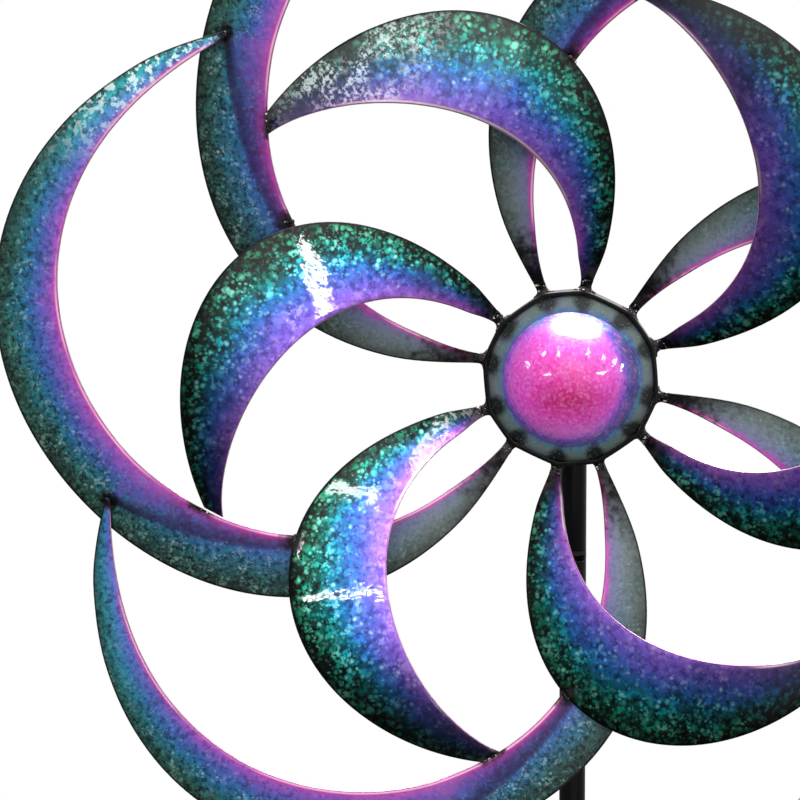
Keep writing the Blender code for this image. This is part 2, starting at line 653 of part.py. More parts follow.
socket = tube("pole_socket", SOCKET_R, SOCKET_BORE_R, SOCKET_BOTTOM, SOCKET_TOP, BLACK,
              steps=28, chamfer=0.5 * MM)
cross_hole(socket, "socket_hole", THUMB_SCREW_HEIGHT, 5 * MM, 20 * MM)     # +X wall only
turned("socket_thumb_screw",
       [(0.0, KNOB_END), *outer_side(KNOB_R, KNOB_START, KNOB_END, chamfer=1 * MM),
        (SCREW_R, KNOB_START), (SCREW_R, THUMB_SCREW_TIP + THUMB_SCREW_CHAMFER),
        (SCREW_R - THUMB_SCREW_CHAMFER, THUMB_SCREW_TIP), (0.0, THUMB_SCREW_TIP)],
       STEEL, steps=16, location=(0, 0, THUMB_SCREW_HEIGHT), rotation=SIDEWAYS)
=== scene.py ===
"""A garden wind wheel on a pole with a ground fork.

Metres, +Z up. The pole stands on the Z axis. The wheel faces -Y and turns about a Y axis in front
of the pole: twelve enamelled blades in two rings of six, on a hub with a domed cap.
Profiles and blade shapes are worked in millimetres and scaled by MM when a mesh is made.
"""
import json
import math

import bmesh
import bpy
import numpy as np
from mathutils import Matrix, Vector, noise

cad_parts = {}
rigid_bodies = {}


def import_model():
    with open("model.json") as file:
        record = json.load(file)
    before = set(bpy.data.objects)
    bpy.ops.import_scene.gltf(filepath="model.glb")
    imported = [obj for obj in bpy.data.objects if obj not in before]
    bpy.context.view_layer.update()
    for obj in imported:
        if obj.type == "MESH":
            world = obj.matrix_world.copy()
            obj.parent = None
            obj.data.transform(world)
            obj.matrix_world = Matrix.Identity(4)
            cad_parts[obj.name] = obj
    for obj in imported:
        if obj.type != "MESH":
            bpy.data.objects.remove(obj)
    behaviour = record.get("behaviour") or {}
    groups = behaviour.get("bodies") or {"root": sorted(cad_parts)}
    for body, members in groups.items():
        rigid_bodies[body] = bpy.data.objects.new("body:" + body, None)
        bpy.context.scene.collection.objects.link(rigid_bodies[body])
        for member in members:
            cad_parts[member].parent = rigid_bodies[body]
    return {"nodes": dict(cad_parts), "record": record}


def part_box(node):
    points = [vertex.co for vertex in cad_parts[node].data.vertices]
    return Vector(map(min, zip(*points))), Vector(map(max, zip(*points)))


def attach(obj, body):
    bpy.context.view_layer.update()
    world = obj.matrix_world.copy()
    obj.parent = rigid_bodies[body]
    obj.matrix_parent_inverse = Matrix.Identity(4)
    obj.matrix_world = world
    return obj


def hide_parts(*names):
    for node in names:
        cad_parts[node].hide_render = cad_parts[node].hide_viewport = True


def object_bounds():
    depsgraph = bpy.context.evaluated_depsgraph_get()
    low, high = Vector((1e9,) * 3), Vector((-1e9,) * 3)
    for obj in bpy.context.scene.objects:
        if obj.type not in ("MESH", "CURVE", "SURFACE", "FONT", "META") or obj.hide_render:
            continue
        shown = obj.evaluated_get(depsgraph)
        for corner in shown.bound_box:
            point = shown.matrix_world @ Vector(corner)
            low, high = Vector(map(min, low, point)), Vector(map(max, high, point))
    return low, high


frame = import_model()
cad_low, cad_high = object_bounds()
MM = 0.001

# Centre of the wheel, in its own plane.
HUB = next(Vector(joint["pos_m"]) for joint in frame["record"]["behaviour"]["joints"]
           if joint["name"] == "wheel_spin")
FORWARD = np.array([0.0, 0.0, 1.0])     # in wheel coordinates


def wheel(points):
    """Wheel coordinates (right, up, forward) in millimetres -> the row frame in metres."""
    p = np.asarray(points, float) * MM
    return np.stack([HUB.x + p[..., 0], HUB.y - p[..., 2], HUB.z + p[..., 1]], axis=-1)


# ---------------------------------------------------------------- vector helpers

def unit(vectors):
    return vectors / np.maximum(np.linalg.norm(vectors, axis=-1, keepdims=True), 1e-9)


def level_unit(vectors):
    """Unit vectors with the forward part taken out."""
    return unit(vectors * np.array([1.0, 1.0, 0.0]))


def smoothstep(x):
    x = np.clip(x, 0.0, 1.0)
    return x * x * (3.0 - 2.0 * x)


def path_lengths(path):
    return np.r_[0.0, np.cumsum(np.linalg.norm(np.diff(path, axis=0), axis=1))]


def resample(path, count):
    """Evenly spaced points along a path."""
    lengths = path_lengths(path)
    stops = np.linspace(0.0, lengths[-1], count)
    return np.stack([np.interp(stops, lengths, column) for column in path.T], axis=1)


def circle(count):
    angle = np.linspace(0.0, 2.0 * math.pi, count, endpoint=False)
    return angle, np.cos(angle), np.sin(angle)


def lumps(points, scale, seed):
    """Repeatable noise for a list of points."""
    offset = Vector((seed, seed * 0.7, -seed))
    return np.array([noise.noise(Vector((float(x), float(y), float(z))) * scale + offset)
                     for x, y, z in points])


# ---------------------------------------------------------------- mesh helpers

def mesh_object(name, verts, faces):
    mesh = bpy.data.meshes.new(name)
    mesh.from_pydata([tuple(map(float, v)) for v in verts], [],
                     [tuple(map(int, f)) for f in faces])
    mesh.validate()
    mesh.update()
    ob = bpy.data.objects.new(name, mesh)
    bpy.context.scene.collection.objects.link(ob)
    return ob


def solid(name, verts, faces, sharp):
    """A smooth closed mesh, faces turned outwards, creased beyond the sharp angle in degrees."""
    ob = mesh_object(name, verts, faces)
    mesh = ob.data
    mesh.polygons.foreach_set("use_smooth", [True] * len(mesh.polygons))
    work = bmesh.new()
    work.from_mesh(mesh)
    bmesh.ops.recalc_face_normals(work, faces=work.faces)
    work.to_mesh(mesh)
    work.free()
    mesh.set_sharp_from_angle(angle=math.radians(sharp))
    return ob


def loft(name, rings, closed=False, sharp=35.0):
    """Skin rings of equal point count; ends are capped, or the last ring meets the first."""
    around, total = len(rings[0]), len(rings)
    faces = []
    for i in range(total if closed else total - 1):
        a, b = i * around, ((i + 1) % total) * around
        for j in range(around):
            k = (j + 1) % around
            faces.append((a + j, a + k, b + k, b + j))
    if not closed:
        faces.append(tuple(range(around))[::-1])
        faces.append(tuple(range((total - 1) * around, total * around)))
    return solid(name, np.concatenate(rings), faces, sharp)


def axis_frame(axis):
    z = Vector(axis).normalized()
    x = z.orthogonal().normalized() if abs(z.z) < 0.9 else Vector((1.0, 0.0, 0.0))
    return np.array(x), np.array(z.cross(x)), np.array(z)


def lathe(name, profile, centre, axis, count=96, closed=True, sharp=35.0, shape=None):
    """Revolve (radius, height) pairs in millimetres about an axis through centre in metres.

    shape(angle, radius, height) may vary the radius around the turn.
    """
    x_dir, y_dir, z_dir = axis_frame(axis)
    angle, cos, sin = circle(count)
    spokes = cos[:, None] * x_dir + sin[:, None] * y_dir
    rings = []
    for radius, height in profile:
        radii = shape(angle, radius, height) if shape else np.full(count, float(radius))
        rings.append(np.array(centre) + MM * (radii[:, None] * spokes + height * z_dir))
    return loft(name, rings, closed, sharp)


def rounded(profile, radius, steps):
    """Round every corner of a closed (radius, height) profile."""
    points = [np.array(p, float) for p in profile]
    out = []
    for i, corner in enumerate(points):
        before, after = points[i - 1] - corner, points[(i + 1) % len(points)] - corner
        len_before, len_after = np.linalg.norm(before), np.linalg.norm(after)
        before, after = before / len_before, after / len_after
        angle = math.acos(max(-1.0, min(1.0, float(before @ after))))
        if angle > math.radians(165):
            out.append(tuple(corner))
            continue
        cut = min(radius / math.tan(angle / 2.0), 0.45 * len_before, 0.45 * len_after)
        for w in np.arange(steps + 1) / steps:
            out.append(tuple((1 - w) ** 2 * (corner + before * cut) + 2 * w * (1 - w) * corner
                             + w ** 2 * (corner + after * cut)))
    return out


def hexagon(angle, flat):
    """Radius of a hexagon of half-width flat at an angle."""
    return flat / np.cos(np.mod(angle, math.pi / 3) - math.pi / 6)


def float_attributes(ob, **named):
    for label, values in named.items():
        attribute = ob.data.attributes.new(label, "FLOAT", "POINT")
        attribute.data.foreach_set("value", values.reshape(-1).astype(np.float32))


BEAD_STEP = 0.35        # spacing of the rings along a weld bead
BEAD_PITCH = 1.9        # from one puddle to the next
BEAD_RIPPLE = 0.16      # how much each puddle swells and shrinks


def bead(path, radius, seed, facing=(0.0, 0.0, 1.0), squash=1.0, wobble=0.22):
    """Rings of a run of weld metal: overlapping puddles along a path, all in millimetres."""
    path = np.asarray(path, float)
    length = path_lengths(path)[-1]
    count = max(10, int(length / BEAD_STEP))
    travelled = np.linspace(0.0, length, count)
    centres = resample(path, count)
    tangent = unit(np.gradient(centres, axis=0))
    side = unit(np.cross(tangent, np.array(facing)))
    normal = np.cross(side, tangent)
    from_end = np.clip(np.minimum(travelled, length - travelled) / radius, 0.0, 1.0)
    cap = np.sqrt(np.clip(1.0 - (1.0 - from_end) ** 2, 0.0025, 1.0))
    phase = np.mod(travelled / BEAD_PITCH, 1.0)
    ripple = BEAD_RIPPLE * (1.0 - 2.0 * phase) * np.minimum(phase * 6.0, 1.0)
    size = radius * cap * (1.0 + ripple)
    _, cos, sin = circle(14)
    rings = []
    for i in range(count):
        spread = size[i] * (cos[:, None] * side[i] + squash * sin[:, None] * normal[i])
        ring = centres[i] + spread
        kick = lumps(ring, 0.45, seed) + 0.5 * lumps(ring, 1.1, seed + 9.0)
        rings.append(centres[i] + spread * (1.0 + wobble * kick)[:, None])
    return rings


# ------------------------------------------------------------ node helpers

def linear_colour(code):
    """sRGB hex code -> linear RGBA."""
    parts = [int(code[i:i + 2], 16) / 255.0 for i in (0, 2, 4)]
    return [x / 12.92 if x <= 0.04045 else ((x + 0.055) / 1.055) ** 2.4 for x in parts] + [1.0]


class Signal:
    """A node output; arithmetic on it adds nodes."""

    def __init__(self, graph, socket):
        self.graph, self.socket = graph, socket

    def __add__(self, other):
        return self.graph.calc("ADD", self, other)

    def __sub__(self, other):
        return self.graph.calc("SUBTRACT", self, other)

    def __rsub__(self, other):
        return self.graph.calc("SUBTRACT", other, self)

    def __mul__(self, other):
        return self.graph.calc("MULTIPLY", self, other)

    def scaled(self, factor, shift):
        """self * factor + shift, in one node."""
        return self.graph.calc("MULTIPLY_ADD", self, factor, shift)

    def most(self, other):
        return self.graph.calc("MAXIMUM", self, other)

    def fade(self, start, end, to=(0.0, 1.0), smooth=True):
        """Go from to[0] at start to to[1] at end, and stay level outside."""
        return self.graph.add("ShaderNodeMapRange", dict(enumerate((self, start, end, *to))),
                              interpolation_type="SMOOTHSTEP" if smooth else "LINEAR", clamp=True)

    def sibling(self, output):
        """Another output of the same node."""
        return Signal(self.graph, self.socket.node.outputs[output])


class Graph:
    """The node tree of a material or a world; each call adds a node and returns its output."""

    def __init__(self, owner):
        owner.use_nodes = True
        self.tree = owner.node_tree
        self.tree.nodes.clear()

    def add(self, kind, inputs=None, output=0, **props):
        node = self.tree.nodes.new(kind)
        for key, value in props.items():
            setattr(node, key, value)
        for key, value in (inputs or {}).items():
            self.put(node.inputs[key], value)
        return Signal(self, node.outputs[output]) if node.outputs else None

    def put(self, socket, value):
        if isinstance(value, Signal):
            self.tree.links.new(value.socket, socket)
        else:
            socket.default_value = linear_colour(value) if isinstance(value, str) else value

    def calc(self, operation, a, b=0.0, c=0.0, clamp=False):
        return self.add("ShaderNodeMath", {0: a, 1: b, 2: c}, operation=operation, use_clamp=clamp)

    def vector(self, operation, *inputs, **named):
        output = "Value" if operation in ("LENGTH", "DOT_PRODUCT") else 0
        return self.add("ShaderNodeVectorMath", {**dict(enumerate(inputs)), **named}, output,
                        operation=operation)


class MaterialGraph(Graph):
    """A small way to write node materials. Colours are sRGB hex codes."""

    def __init__(self, name):
        self.material = bpy.data.materials.new(name)
        super().__init__(self.material)
        self.coords = self.add("ShaderNodeTexCoord", output="Object")

    def surface(self, shader):
        self.add("ShaderNodeOutputMaterial", {0: shader})
        return self.material

    def principled(self, **values):
        named = {key.replace("_", " "): value for key, value in values.items()}
        return self.surface(self.add("ShaderNodeBsdfPrincipled", named))

    def blend(self, share, under, over, how="MIX"):
        return self.add("ShaderNodeMix", {0: share, 6: under, 7: over}, 2,
                        data_type="RGBA", blend_type=how, clamp_factor=True)

    def lerp(self, share, a, b):
        return self.add("ShaderNodeMix", {0: share, 2: a, 3: b},
                        data_type="FLOAT", clamp_factor=True)

    def ramp(self, position, stops):
        """A ramp of (position, hex colour or grey level) stops."""
        signal = self.add("ShaderNodeValToRGB", {0: position})
        elements = signal.socket.node.color_ramp.elements
        while len(elements) < len(stops):
            elements.new(0.5)
        for element, (place_at, _) in zip(elements, stops):
            element.position = place_at
        for element, (_, colour) in zip(elements, stops):
            element.color = (linear_colour(colour) if isinstance(colour, str)
                             else (colour, colour, colour, 1.0))
        return signal

    def noise(self, scale, detail=2.0, rough=0.5, distort=0.0, output=0):
        return self.add("ShaderNodeTexNoise",
                        {"Vector": self.coords, "Scale": scale, "Detail": detail,
                         "Roughness": rough, "Distortion": distort}, output)

    def cells(self, scale, warp_scale, warp):
        """Uneven cells: distance from the centre, and two random values for each cell.

        The coordinates are pushed about by soft noise of warp_scale, as far as warp.
        """
        push = self.vector("SUBTRACT", self.noise(warp_scale, detail=1.0, output=1),
                           (0.5, 0.5, 0.5))
        coords = self.vector("ADD", self.coords, self.vector("SCALE", push, Scale=warp))
        distance = self.add("ShaderNodeTexVoronoi",
                            {"Vector": coords, "Scale": scale, "Randomness": 0.78}, "Distance",
                            feature="F1")
        red = self.add("ShaderNodeSeparateColor", {0: distance.sibling("Color")})
        return distance, red, red.sibling(1)

    def attr(self, name):
        return self.add("ShaderNodeAttribute", output="Fac", attribute_name=name)

    def bump(self, height, distance, strength=1.0, **normal):
        return self.add("ShaderNodeBump", {"Strength": strength, "Distance": distance,
                                           "Height": height, **normal})

    def edge_wear(self, radius):
        """How much the surface turns within a small radius: 1 on sharp edges."""
        bevel = self.add("ShaderNodeBevel", {"Radius": radius}, samples=4)
        normal = self.add("ShaderNodeNewGeometry", output="Normal")
        return self.vector("DOT_PRODUCT", bevel, normal).fade(0.995, 0.90)


# ------------------------------------------------------------------- materials
# On a blade, "along" runs 0 to 1 from root to tip and "across" 0 to 1 from outer to inner edge.

# The fold of a back blade, from the weld of the next tip to the inner edge (along, across).
FOLD_FROM, FOLD_TO = (0.455, 0.30), (0.160, 1.0)
FOLD_RISE, FOLD_SAG = 1.77, -1.087      # the fold crosses the blade as RISE s + SAG s squared

# Blade colours: for each station along the blade, a ramp of (across, colour).
# The stations darken towards the tip: that darkening is painted shade.
FRONT_FIELD = [
    (0.00, [(0.0, "1c1d20"), (0.5, "2b2c34"), (1.0, "5a4860")]),
    (0.12, [(0.0, "182024"), (0.22, "26343a"), (0.40, "2b5868"), (0.55, "3a6ea0"),
            (0.70, "6c66c6"), (0.85, "ac64d0"), (1.0, "d87ce0")]),
    (0.30, [(0.0, "0c1c14"), (0.15, "12503a"), (0.29, "169080"), (0.41, "189ec4"),
            (0.53, "3480ea"), (0.67, "6078f0"), (0.82, "8c70f2"), (0.92, "a872f2"),
            (1.0, "cc80f6")]),
    (0.50, [(0.0, "0b1c14"), (0.15, "105840"), (0.30, "109c86"), (0.43, "12aac4"),
            (0.56, "2c90e4"), (0.70, "5c7ef0"), (0.84, "806cee"), (1.0, "a070ee")]),
    (0.72, [(0.0, "0a1812"), (0.20, "12483a"), (0.38, "167874"), (0.52, "1a7ca8"),
            (0.66, "3c74d0"), (0.80, "6660cc"), (1.0, "9c68d4")]),
    (0.90, [(0.0, "0a1216"), (0.25, "163640"), (0.50, "204e78"), (0.70, "344c98"),
            (0.85, "54489c"), (1.0, "8458bc")]),
    (1.00, [(0.0, "101418"), (0.5, "202c44"), (1.0, "503c74")]),
]
# The greys at the root stations are painted shade.
BACK_FIELD = [
    (0.00, [(0.0, "2a2b2c"), (0.5, "585e5f"), (0.85, "6a6276"), (1.0, "c04aa0")]),
    (0.10, [(0.0, "4a5250"), (0.30, "687472"), (0.60, "788490"), (0.84, "7f7aa4"),
            (0.93, "b858b8"), (1.0, "ee5ecc")]),
    (0.30, [(0.0, "2a3832"), (0.25, "305e5e"), (0.50, "2c7298"), (0.68, "346cac"),
            (0.80, "4e5eb8"), (0.92, "7c48b0"), (1.0, "c43cb8")]),
    (0.50, [(0.0, "2c423a"), (0.20, "32665e"), (0.40, "27788e"), (0.55, "2a70b0"),
            (0.68, "4a66c4"), (0.79, "705ccc"), (0.90, "a256cc"), (1.0, "e450c8")]),
    (0.72, [(0.0, "2c4c48"), (0.20, "337068"), (0.40, "28829c"), (0.55, "2f7ebc"),
            (0.70, "5472cc"), (0.82, "7c66cc"), (0.93, "aa5cce"), (1.0, "e070ce")]),
    (0.90, [(0.0, "305a5a"), (0.30, "348490"), (0.55, "4692c0"), (0.75, "6080d4"),
            (0.90, "7c76dc"), (1.0, "9c7cdc")]),
    (1.00, [(0.0, "28608a"), (0.5, "2f6cbc"), (1.0, "4448b0")]),
]

# Ramps across the blade: dark ground and how much of it shows (hollow), colours of the strong
# and the pale drops, and the amount of drops.
FRONT_SPONGE = dict(
    stations=FRONT_FIELD,
    dark=[(0.0, "040605"), (0.20, "050f0b"), (0.40, "041e26"), (0.58, "082a66"),
          (0.78, "262480"), (1.0, "6a3fa8")],
    hollow=[(0.0, 1.0), (0.14, 0.97), (0.34, 0.80), (0.50, 0.55), (0.66, 0.34), (0.84, 0.18),
            (1.0, 0.05)],
    tint=[(0.0, "1c8a58"), (0.12, "26b088"), (0.26, "20c8b4"), (0.42, "18cce0"),
          (0.58, "3c94ff"), (0.78, "8c84ff"), (1.0, "dca0ff")],
    pale=[(0.0, "5cd098"), (0.20, "88f2d8"), (0.40, "70f8f8"), (0.60, "84d4ff"),
          (0.80, "b8acff"), (1.0, "ecbcff")],
    amount=[(0.0, 0.45), (0.10, 0.90), (0.24, 1.0), (0.46, 1.0), (0.62, 0.92), (0.82, 0.70),
            (1.0, 0.40)])
BACK_SPONGE = dict(
    stations=BACK_FIELD,
    dark=[(0.0, "131716"), (0.25, "152a28"), (0.50, "14384e"), (0.75, "2a3276"),
          (1.0, "8a2c8c")],
    hollow=[(0.0, 0.62), (0.25, 0.46), (0.50, 0.32), (0.75, 0.20), (0.92, 0.08), (1.0, 0.0)],
    tint=[(0.0, "44846c"), (0.25, "3f9c90"), (0.45, "45a4bc"), (0.65, "5c8cd8"),
          (0.85, "8c70d0"), (1.0, "d470cc")],
    pale=[(0.0, "a0ccb4"), (0.30, "b0e4e0"), (0.60, "b4d0f4"), (1.0, "ecc0f0")],
    amount=[(0.0, 0.50), (0.15, 0.70), (0.45, 0.75), (0.65, 0.60), (0.85, 0.40), (1.0, 0.15)])


def field(mat, along, across, stations):
    """Colour over a blade: a ramp across it at each station, blended along it."""
    colour = mat.ramp(across, stations[0][1])
    for (start, _), (end, stops) in zip(stations, stations[1:]):
        colour = mat.blend(along.fade(start, end), colour, mat.ramp(across, stops))
    return colour


def drop(distance, pick, reach, low, high):
    """A round drop, a little hollow in the middle, brighter in some cells than in others."""
    rim = distance.fade(reach, reach * 0.22) * distance.fade(0.0, reach * 0.5, to=(0.80, 1.0))
    return rim * pick.fade(low, high)


def sponge(mat, along, across, stations, dark, hollow, tint, pale, amount, coarse=1.0, gain=1.0):
    """Sponged and spattered enamel: dark ground towards the outer edge, drops of every size.

    coarse multiplies the texture frequency; gain the strength of the drops.
    """
    soft, fine = mat.noise(scale=42.0), mat.noise(scale=240.0, detail=3.0, rough=0.6)
    inner = across.fade(1.0, 0.80)                    # the inner edge stays clean
    shift = soft.scaled(0.30, -0.15) + fine.scaled(0.26, -0.13)
    uneven = mat.calc("MULTIPLY_ADD", shift, mat.lerp(inner, 0.25, 1.0), across, clamp=True)
    middle = field(mat, along, uneven, stations)

    mid_d, mid_a, mid_b = mat.cells(250.0 * coarse, 210.0 * coarse, warp=0.0024 / coarse)
    big_d, big_a, big_b = mat.cells(140.0 * coarse, 130.0 * coarse, warp=0.0040 / coarse)
    small_d, _, small_b = mat.cells(430.0 * coarse, 360.0 * coarse, warp=0.0013 / coarse)
    mist = mat.noise(scale=235.0 * coarse, detail=3.0, rough=0.65)
    grain = mat.noise(scale=270.0 * coarse, detail=3.0, rough=0.6)
    # Islands of colour left standing on the dark ground.
    thick = mat.noise(scale=58.0).fade(0.34, 0.60, to=(0.30, 1.0))
    mid_isles = mid_d.fade(0.50, 0.22) * mid_a.fade(0.35, 0.70)
    big_isles = big_d.fade(0.46, 0.20) * big_a.fade(0.45, 0.75)
    cover = mid_isles.most(big_isles).most(mist.fade(0.50, 0.64)) * thick
    # Some parts took more colour than others.
    wide = mat.noise(scale=11.0, detail=1.0).fade(0.34, 0.64, to=(1.12, 0.76))
    ground = mat.ramp(uneven, hollow) * wide
    ground = mat.calc("MULTIPLY", ground, 1.0 - cover * 0.90, clamp=True)
    colour = mat.blend(ground, middle, mat.ramp(uneven, dark))
    # Small dark gaps between the drops everywhere, fewer towards the inner edge.
    pits = grain.fade(0.57, 0.36) * uneven.fade(0.20, 0.95, to=(0.88, 0.50))
    darker = mat.blend(1.0, colour, mat.ramp(uneven, dark), how="MULTIPLY")
    colour = mat.blend(pits, colour, darker)

    dots = drop(mid_d, mid_b, reach=0.52, low=0.15, high=0.85)
    dots = dots.most(drop(big_d, big_b, reach=0.42, low=0.55, high=0.95))
    dots = dots.most(drop(small_d, small_b, reach=0.56, low=0.25, high=0.88) * 0.85)
    dots = mat.calc("MULTIPLY", dots.most(mist.fade(0.54, 0.64) * 0.75), 1.2, clamp=True)
    clumps = mat.noise(scale=85.0).fade(0.32, 0.56, to=(0.25, 1.0))
    lengthwise = along.fade(0.03, 0.14) * along.fade(0.98, 0.62, to=(0.40, 1.0))
    dots = dots * clumps * (mat.ramp(uneven, amount) * lengthwise)
    dots = mat.calc("MULTIPLY", dots, gain, clamp=True)
    # Most drops keep the colour of their zone, some are pale.
    strong = mat.blend(mat.noise(scale=190.0, detail=1.0).fade(0.46, 0.64),
                       mat.ramp(uneven, tint), mat.ramp(uneven, pale))
    colour = mat.blend(dots, colour, strong)
    # The centres of a few drops carry a painted highlight, almost white.
    clear = mid_d.fade(0.26, 0.08) * mid_b.fade(0.60, 0.80)
    clear = clear * dots * uneven.fade(0.10, 0.35, to=(0.0, 0.75 * gain))
    colour = mat.blend(clear, colour, "d4fbff")
    raised = mid_d.fade(0.60, 0.05) * 0.7 + big_d.fade(0.55, 0.05) * 0.9
    raised = raised + small_d.fade(0.6, 0.1) * 0.4
    return uneven, colour, dots, raised, fine


def painted_edge_light(mat, colour, along, strength, patches, glint_halo, glint_halo_share, glint_colour):
    """Painted highlight along the inner cut edge: a bright line with a pink glow, and a dark hair
    outside it.
    """
    inner, outer = mat.attr("inner_mm"), mat.attr("outer_mm")
    # Painted highlight: a bright line near the inner edge, with a pink glow beside it.
    edge_glint = inner.fade(2.1, 1.0) * inner.fade(0.15, 0.45)
    runs = mat.noise(scale=16.0).fade(*patches)
    edge_glint = edge_glint * runs * (along.fade(0.03, 0.08) * strength)
    glow = inner.fade(3.6, 1.2) * runs * (strength * glint_halo_share)
    colour = mat.blend(glow, colour, glint_halo)
    colour = mat.blend(edge_glint, colour, glint_colour)
    colour = mat.blend(inner.fade(0.45, 0.20) * 0.75, colour, "501a48")
    return mat.blend(outer.fade(1.5, 0.5) * 0.92, colour, "060707")


def finish_enamel(mat, along, colour, dots, raised, fine, root_dark, metal, coat_rough, peel,
                  base_rough, coat):
    """Burn marks, grime and lacquer; peel is the depth of the lacquer's relief in metres."""
    # Bare, heat-blackened metal at the root and around each weld.
    ragged = fine - 0.5
    root = ragged.scaled(0.12, along).fade(0.090, 0.015)
    burnt = root.most(ragged.scaled(0.9, mat.attr("scorch")).fade(0.30, 0.78))
    sooty = mat.noise(scale=130.0, detail=3.0, rough=0.7).fade(0.45, 0.65)
    colour = mat.blend(burnt * 0.93, colour, mat.blend(sooty, root_dark, "4a4346"))
    # Age: a little dulling, and grime in a few places.
    grime = mat.noise(scale=22.0, detail=4.0, rough=0.6).fade(0.52, 0.80, to=(0.0, 0.20))
    colour = mat.blend(grime, colour, mat.blend(1.0, colour, "7d7f80", how="MULTIPLY"))
    height = raised + mat.noise(scale=430.0) * 0.9
    base = mat.bump(mat.noise(scale=36.0, detail=1.0), distance=0.0004, strength=0.5)
    # The lacquer is broken up by heat near the root.
    broken = mat.noise(scale=360.0, detail=3.0, rough=0.6).fade(0.47, 0.55, to=(0.06, 1.0))
    whole = broken.most(along.fade(0.10, 0.20)) * coat
    return mat.principled(
        Base_Color=colour,
        Metallic=mat.lerp(burnt, metal, 0.90),
        Roughness=mat.lerp(dots, base_rough, base_rough - 0.06) + fine * 0.08,
        Normal=mat.bump(height, distance=peel * 3.0, Normal=base),
        Coat_Weight=(whole * mat.lerp(burnt, 1.0, 0.45)
                     * along.fade(0.02, 0.12, to=(0.35, 1.0))),
        Coat_Roughness=fine.scaled(0.03, coat_rough),
        Coat_Normal=mat.bump(height, distance=peel, Normal=base))


def make_front_enamel():
    mat = MaterialGraph("blade_enamel_bright")
    along, across = mat.attr("blade_u"), mat.attr("blade_v")
    uneven, colour, dots, raised, fine = sponge(mat, along, across, **FRONT_SPONGE)
    # Painted highlight: pale mottled patches near the tip of one front blade.
    painted_glint_patches = (mat.noise(scale=64.0).fade(0.38, 0.56)
             * mat.noise(scale=420.0, detail=3.0, rough=0.7).fade(0.45, 0.60))
    painted_glint_patches = painted_glint_patches * mat.attr("bloom") * 0.78
    # Painted shade towards the tips: the colour is darkened there.
    tip_shade = (along + mat.noise(scale=24.0).scaled(0.30, -0.15)).fade(0.54, 0.86)
    tip_shade = tip_shade * uneven.fade(0.0, 0.5, to=(0.66, 0.82)) * (1.0 - mat.attr("laid"))
    colour = mat.blend(tip_shade, colour, mat.blend(1.0, colour, "626468", how="MULTIPLY"))
    painted_glint_colour = mat.ramp(across, [(0.0, "b8dcd0"), (0.5, "e4eef4"), (1.0, "e8dcff")])
    colour = mat.blend(painted_glint_patches, colour, painted_glint_colour)
    colour = painted_edge_light(mat, colour, along, strength=0.85, patches=(0.50, 0.62),
                       glint_halo="c84cb4", glint_halo_share=0.40, glint_colour="fff2fb")
    return finish_enamel(mat, along, colour, dots, raised, fine, root_dark="131114", metal=0.93,
                         coat_rough=0.012, peel=0.000014, base_rough=0.42, coat=0.85)


def fold_colours(mat, colour, along, across, fine):
    """The strip inside the fold shows magenta, with painted shade, a dark band, along the fold."""
    (u0, v0), (u1, v1) = FOLD_FROM, FOLD_TO
    travel = (u0 - along) * (1.0 / (u0 - u1))         # 0 to 1 along the fold
    wobble = fine.scaled(0.06, -0.03)
    bow = travel * travel.scaled(FOLD_SAG, FOLD_RISE)
    off_fold = bow.scaled(v1 - v0, v0) + wobble - across
    inside = travel.fade(-0.02, 0.02) * travel.fade(0.98, 0.66)
    late = travel.fade(0.02, 0.26)
    # Painted shade: a dark band along the fold.
    fold_shade = off_fold.fade(0.05, 0.0) * (off_fold * -1.0).fade(mat.lerp(late, 0.17, 0.26), 0.02)
    fold_shade = fold_shade * inside
    strip = off_fold.fade(0.01, -0.04) * inside
    beyond = along.fade(u0 + 0.28, u0) * (along.fade(u0 - 0.01, u0 + 0.01)
                                          * across.fade(v0 + 0.20, v0 + 0.60))
    strip = strip.most(beyond * 0.70)
    early_colour = mat.ramp(across, [(0.0, "3f4ea0"), (0.45, "4a4caa"), (0.66, "7450b0"),
                                     (0.84, "a45cbc"), (1.0, "c06cc2")])
    deep = mat.ramp(across, [(0.45, "0e0c46"), (0.66, "200c52"), (0.82, "48145e"),
                             (0.93, "961f80"), (1.0, "d03896")])
    mottled = (mat.noise(scale=95.0, detail=3.0, rough=0.6).fade(0.30, 0.62, to=(0.45, 1.0))
               * mat.noise(scale=260.0, rough=0.6).fade(0.36, 0.60, to=(0.60, 1.0)))
    colour = mat.blend(strip * mottled * 0.85, colour, mat.blend(late, early_colour, deep))
    return mat.blend(fold_shade * mat.lerp(late, 0.94, 0.66), colour,
                     mat.blend(late, "080b2c", "240f4e"))


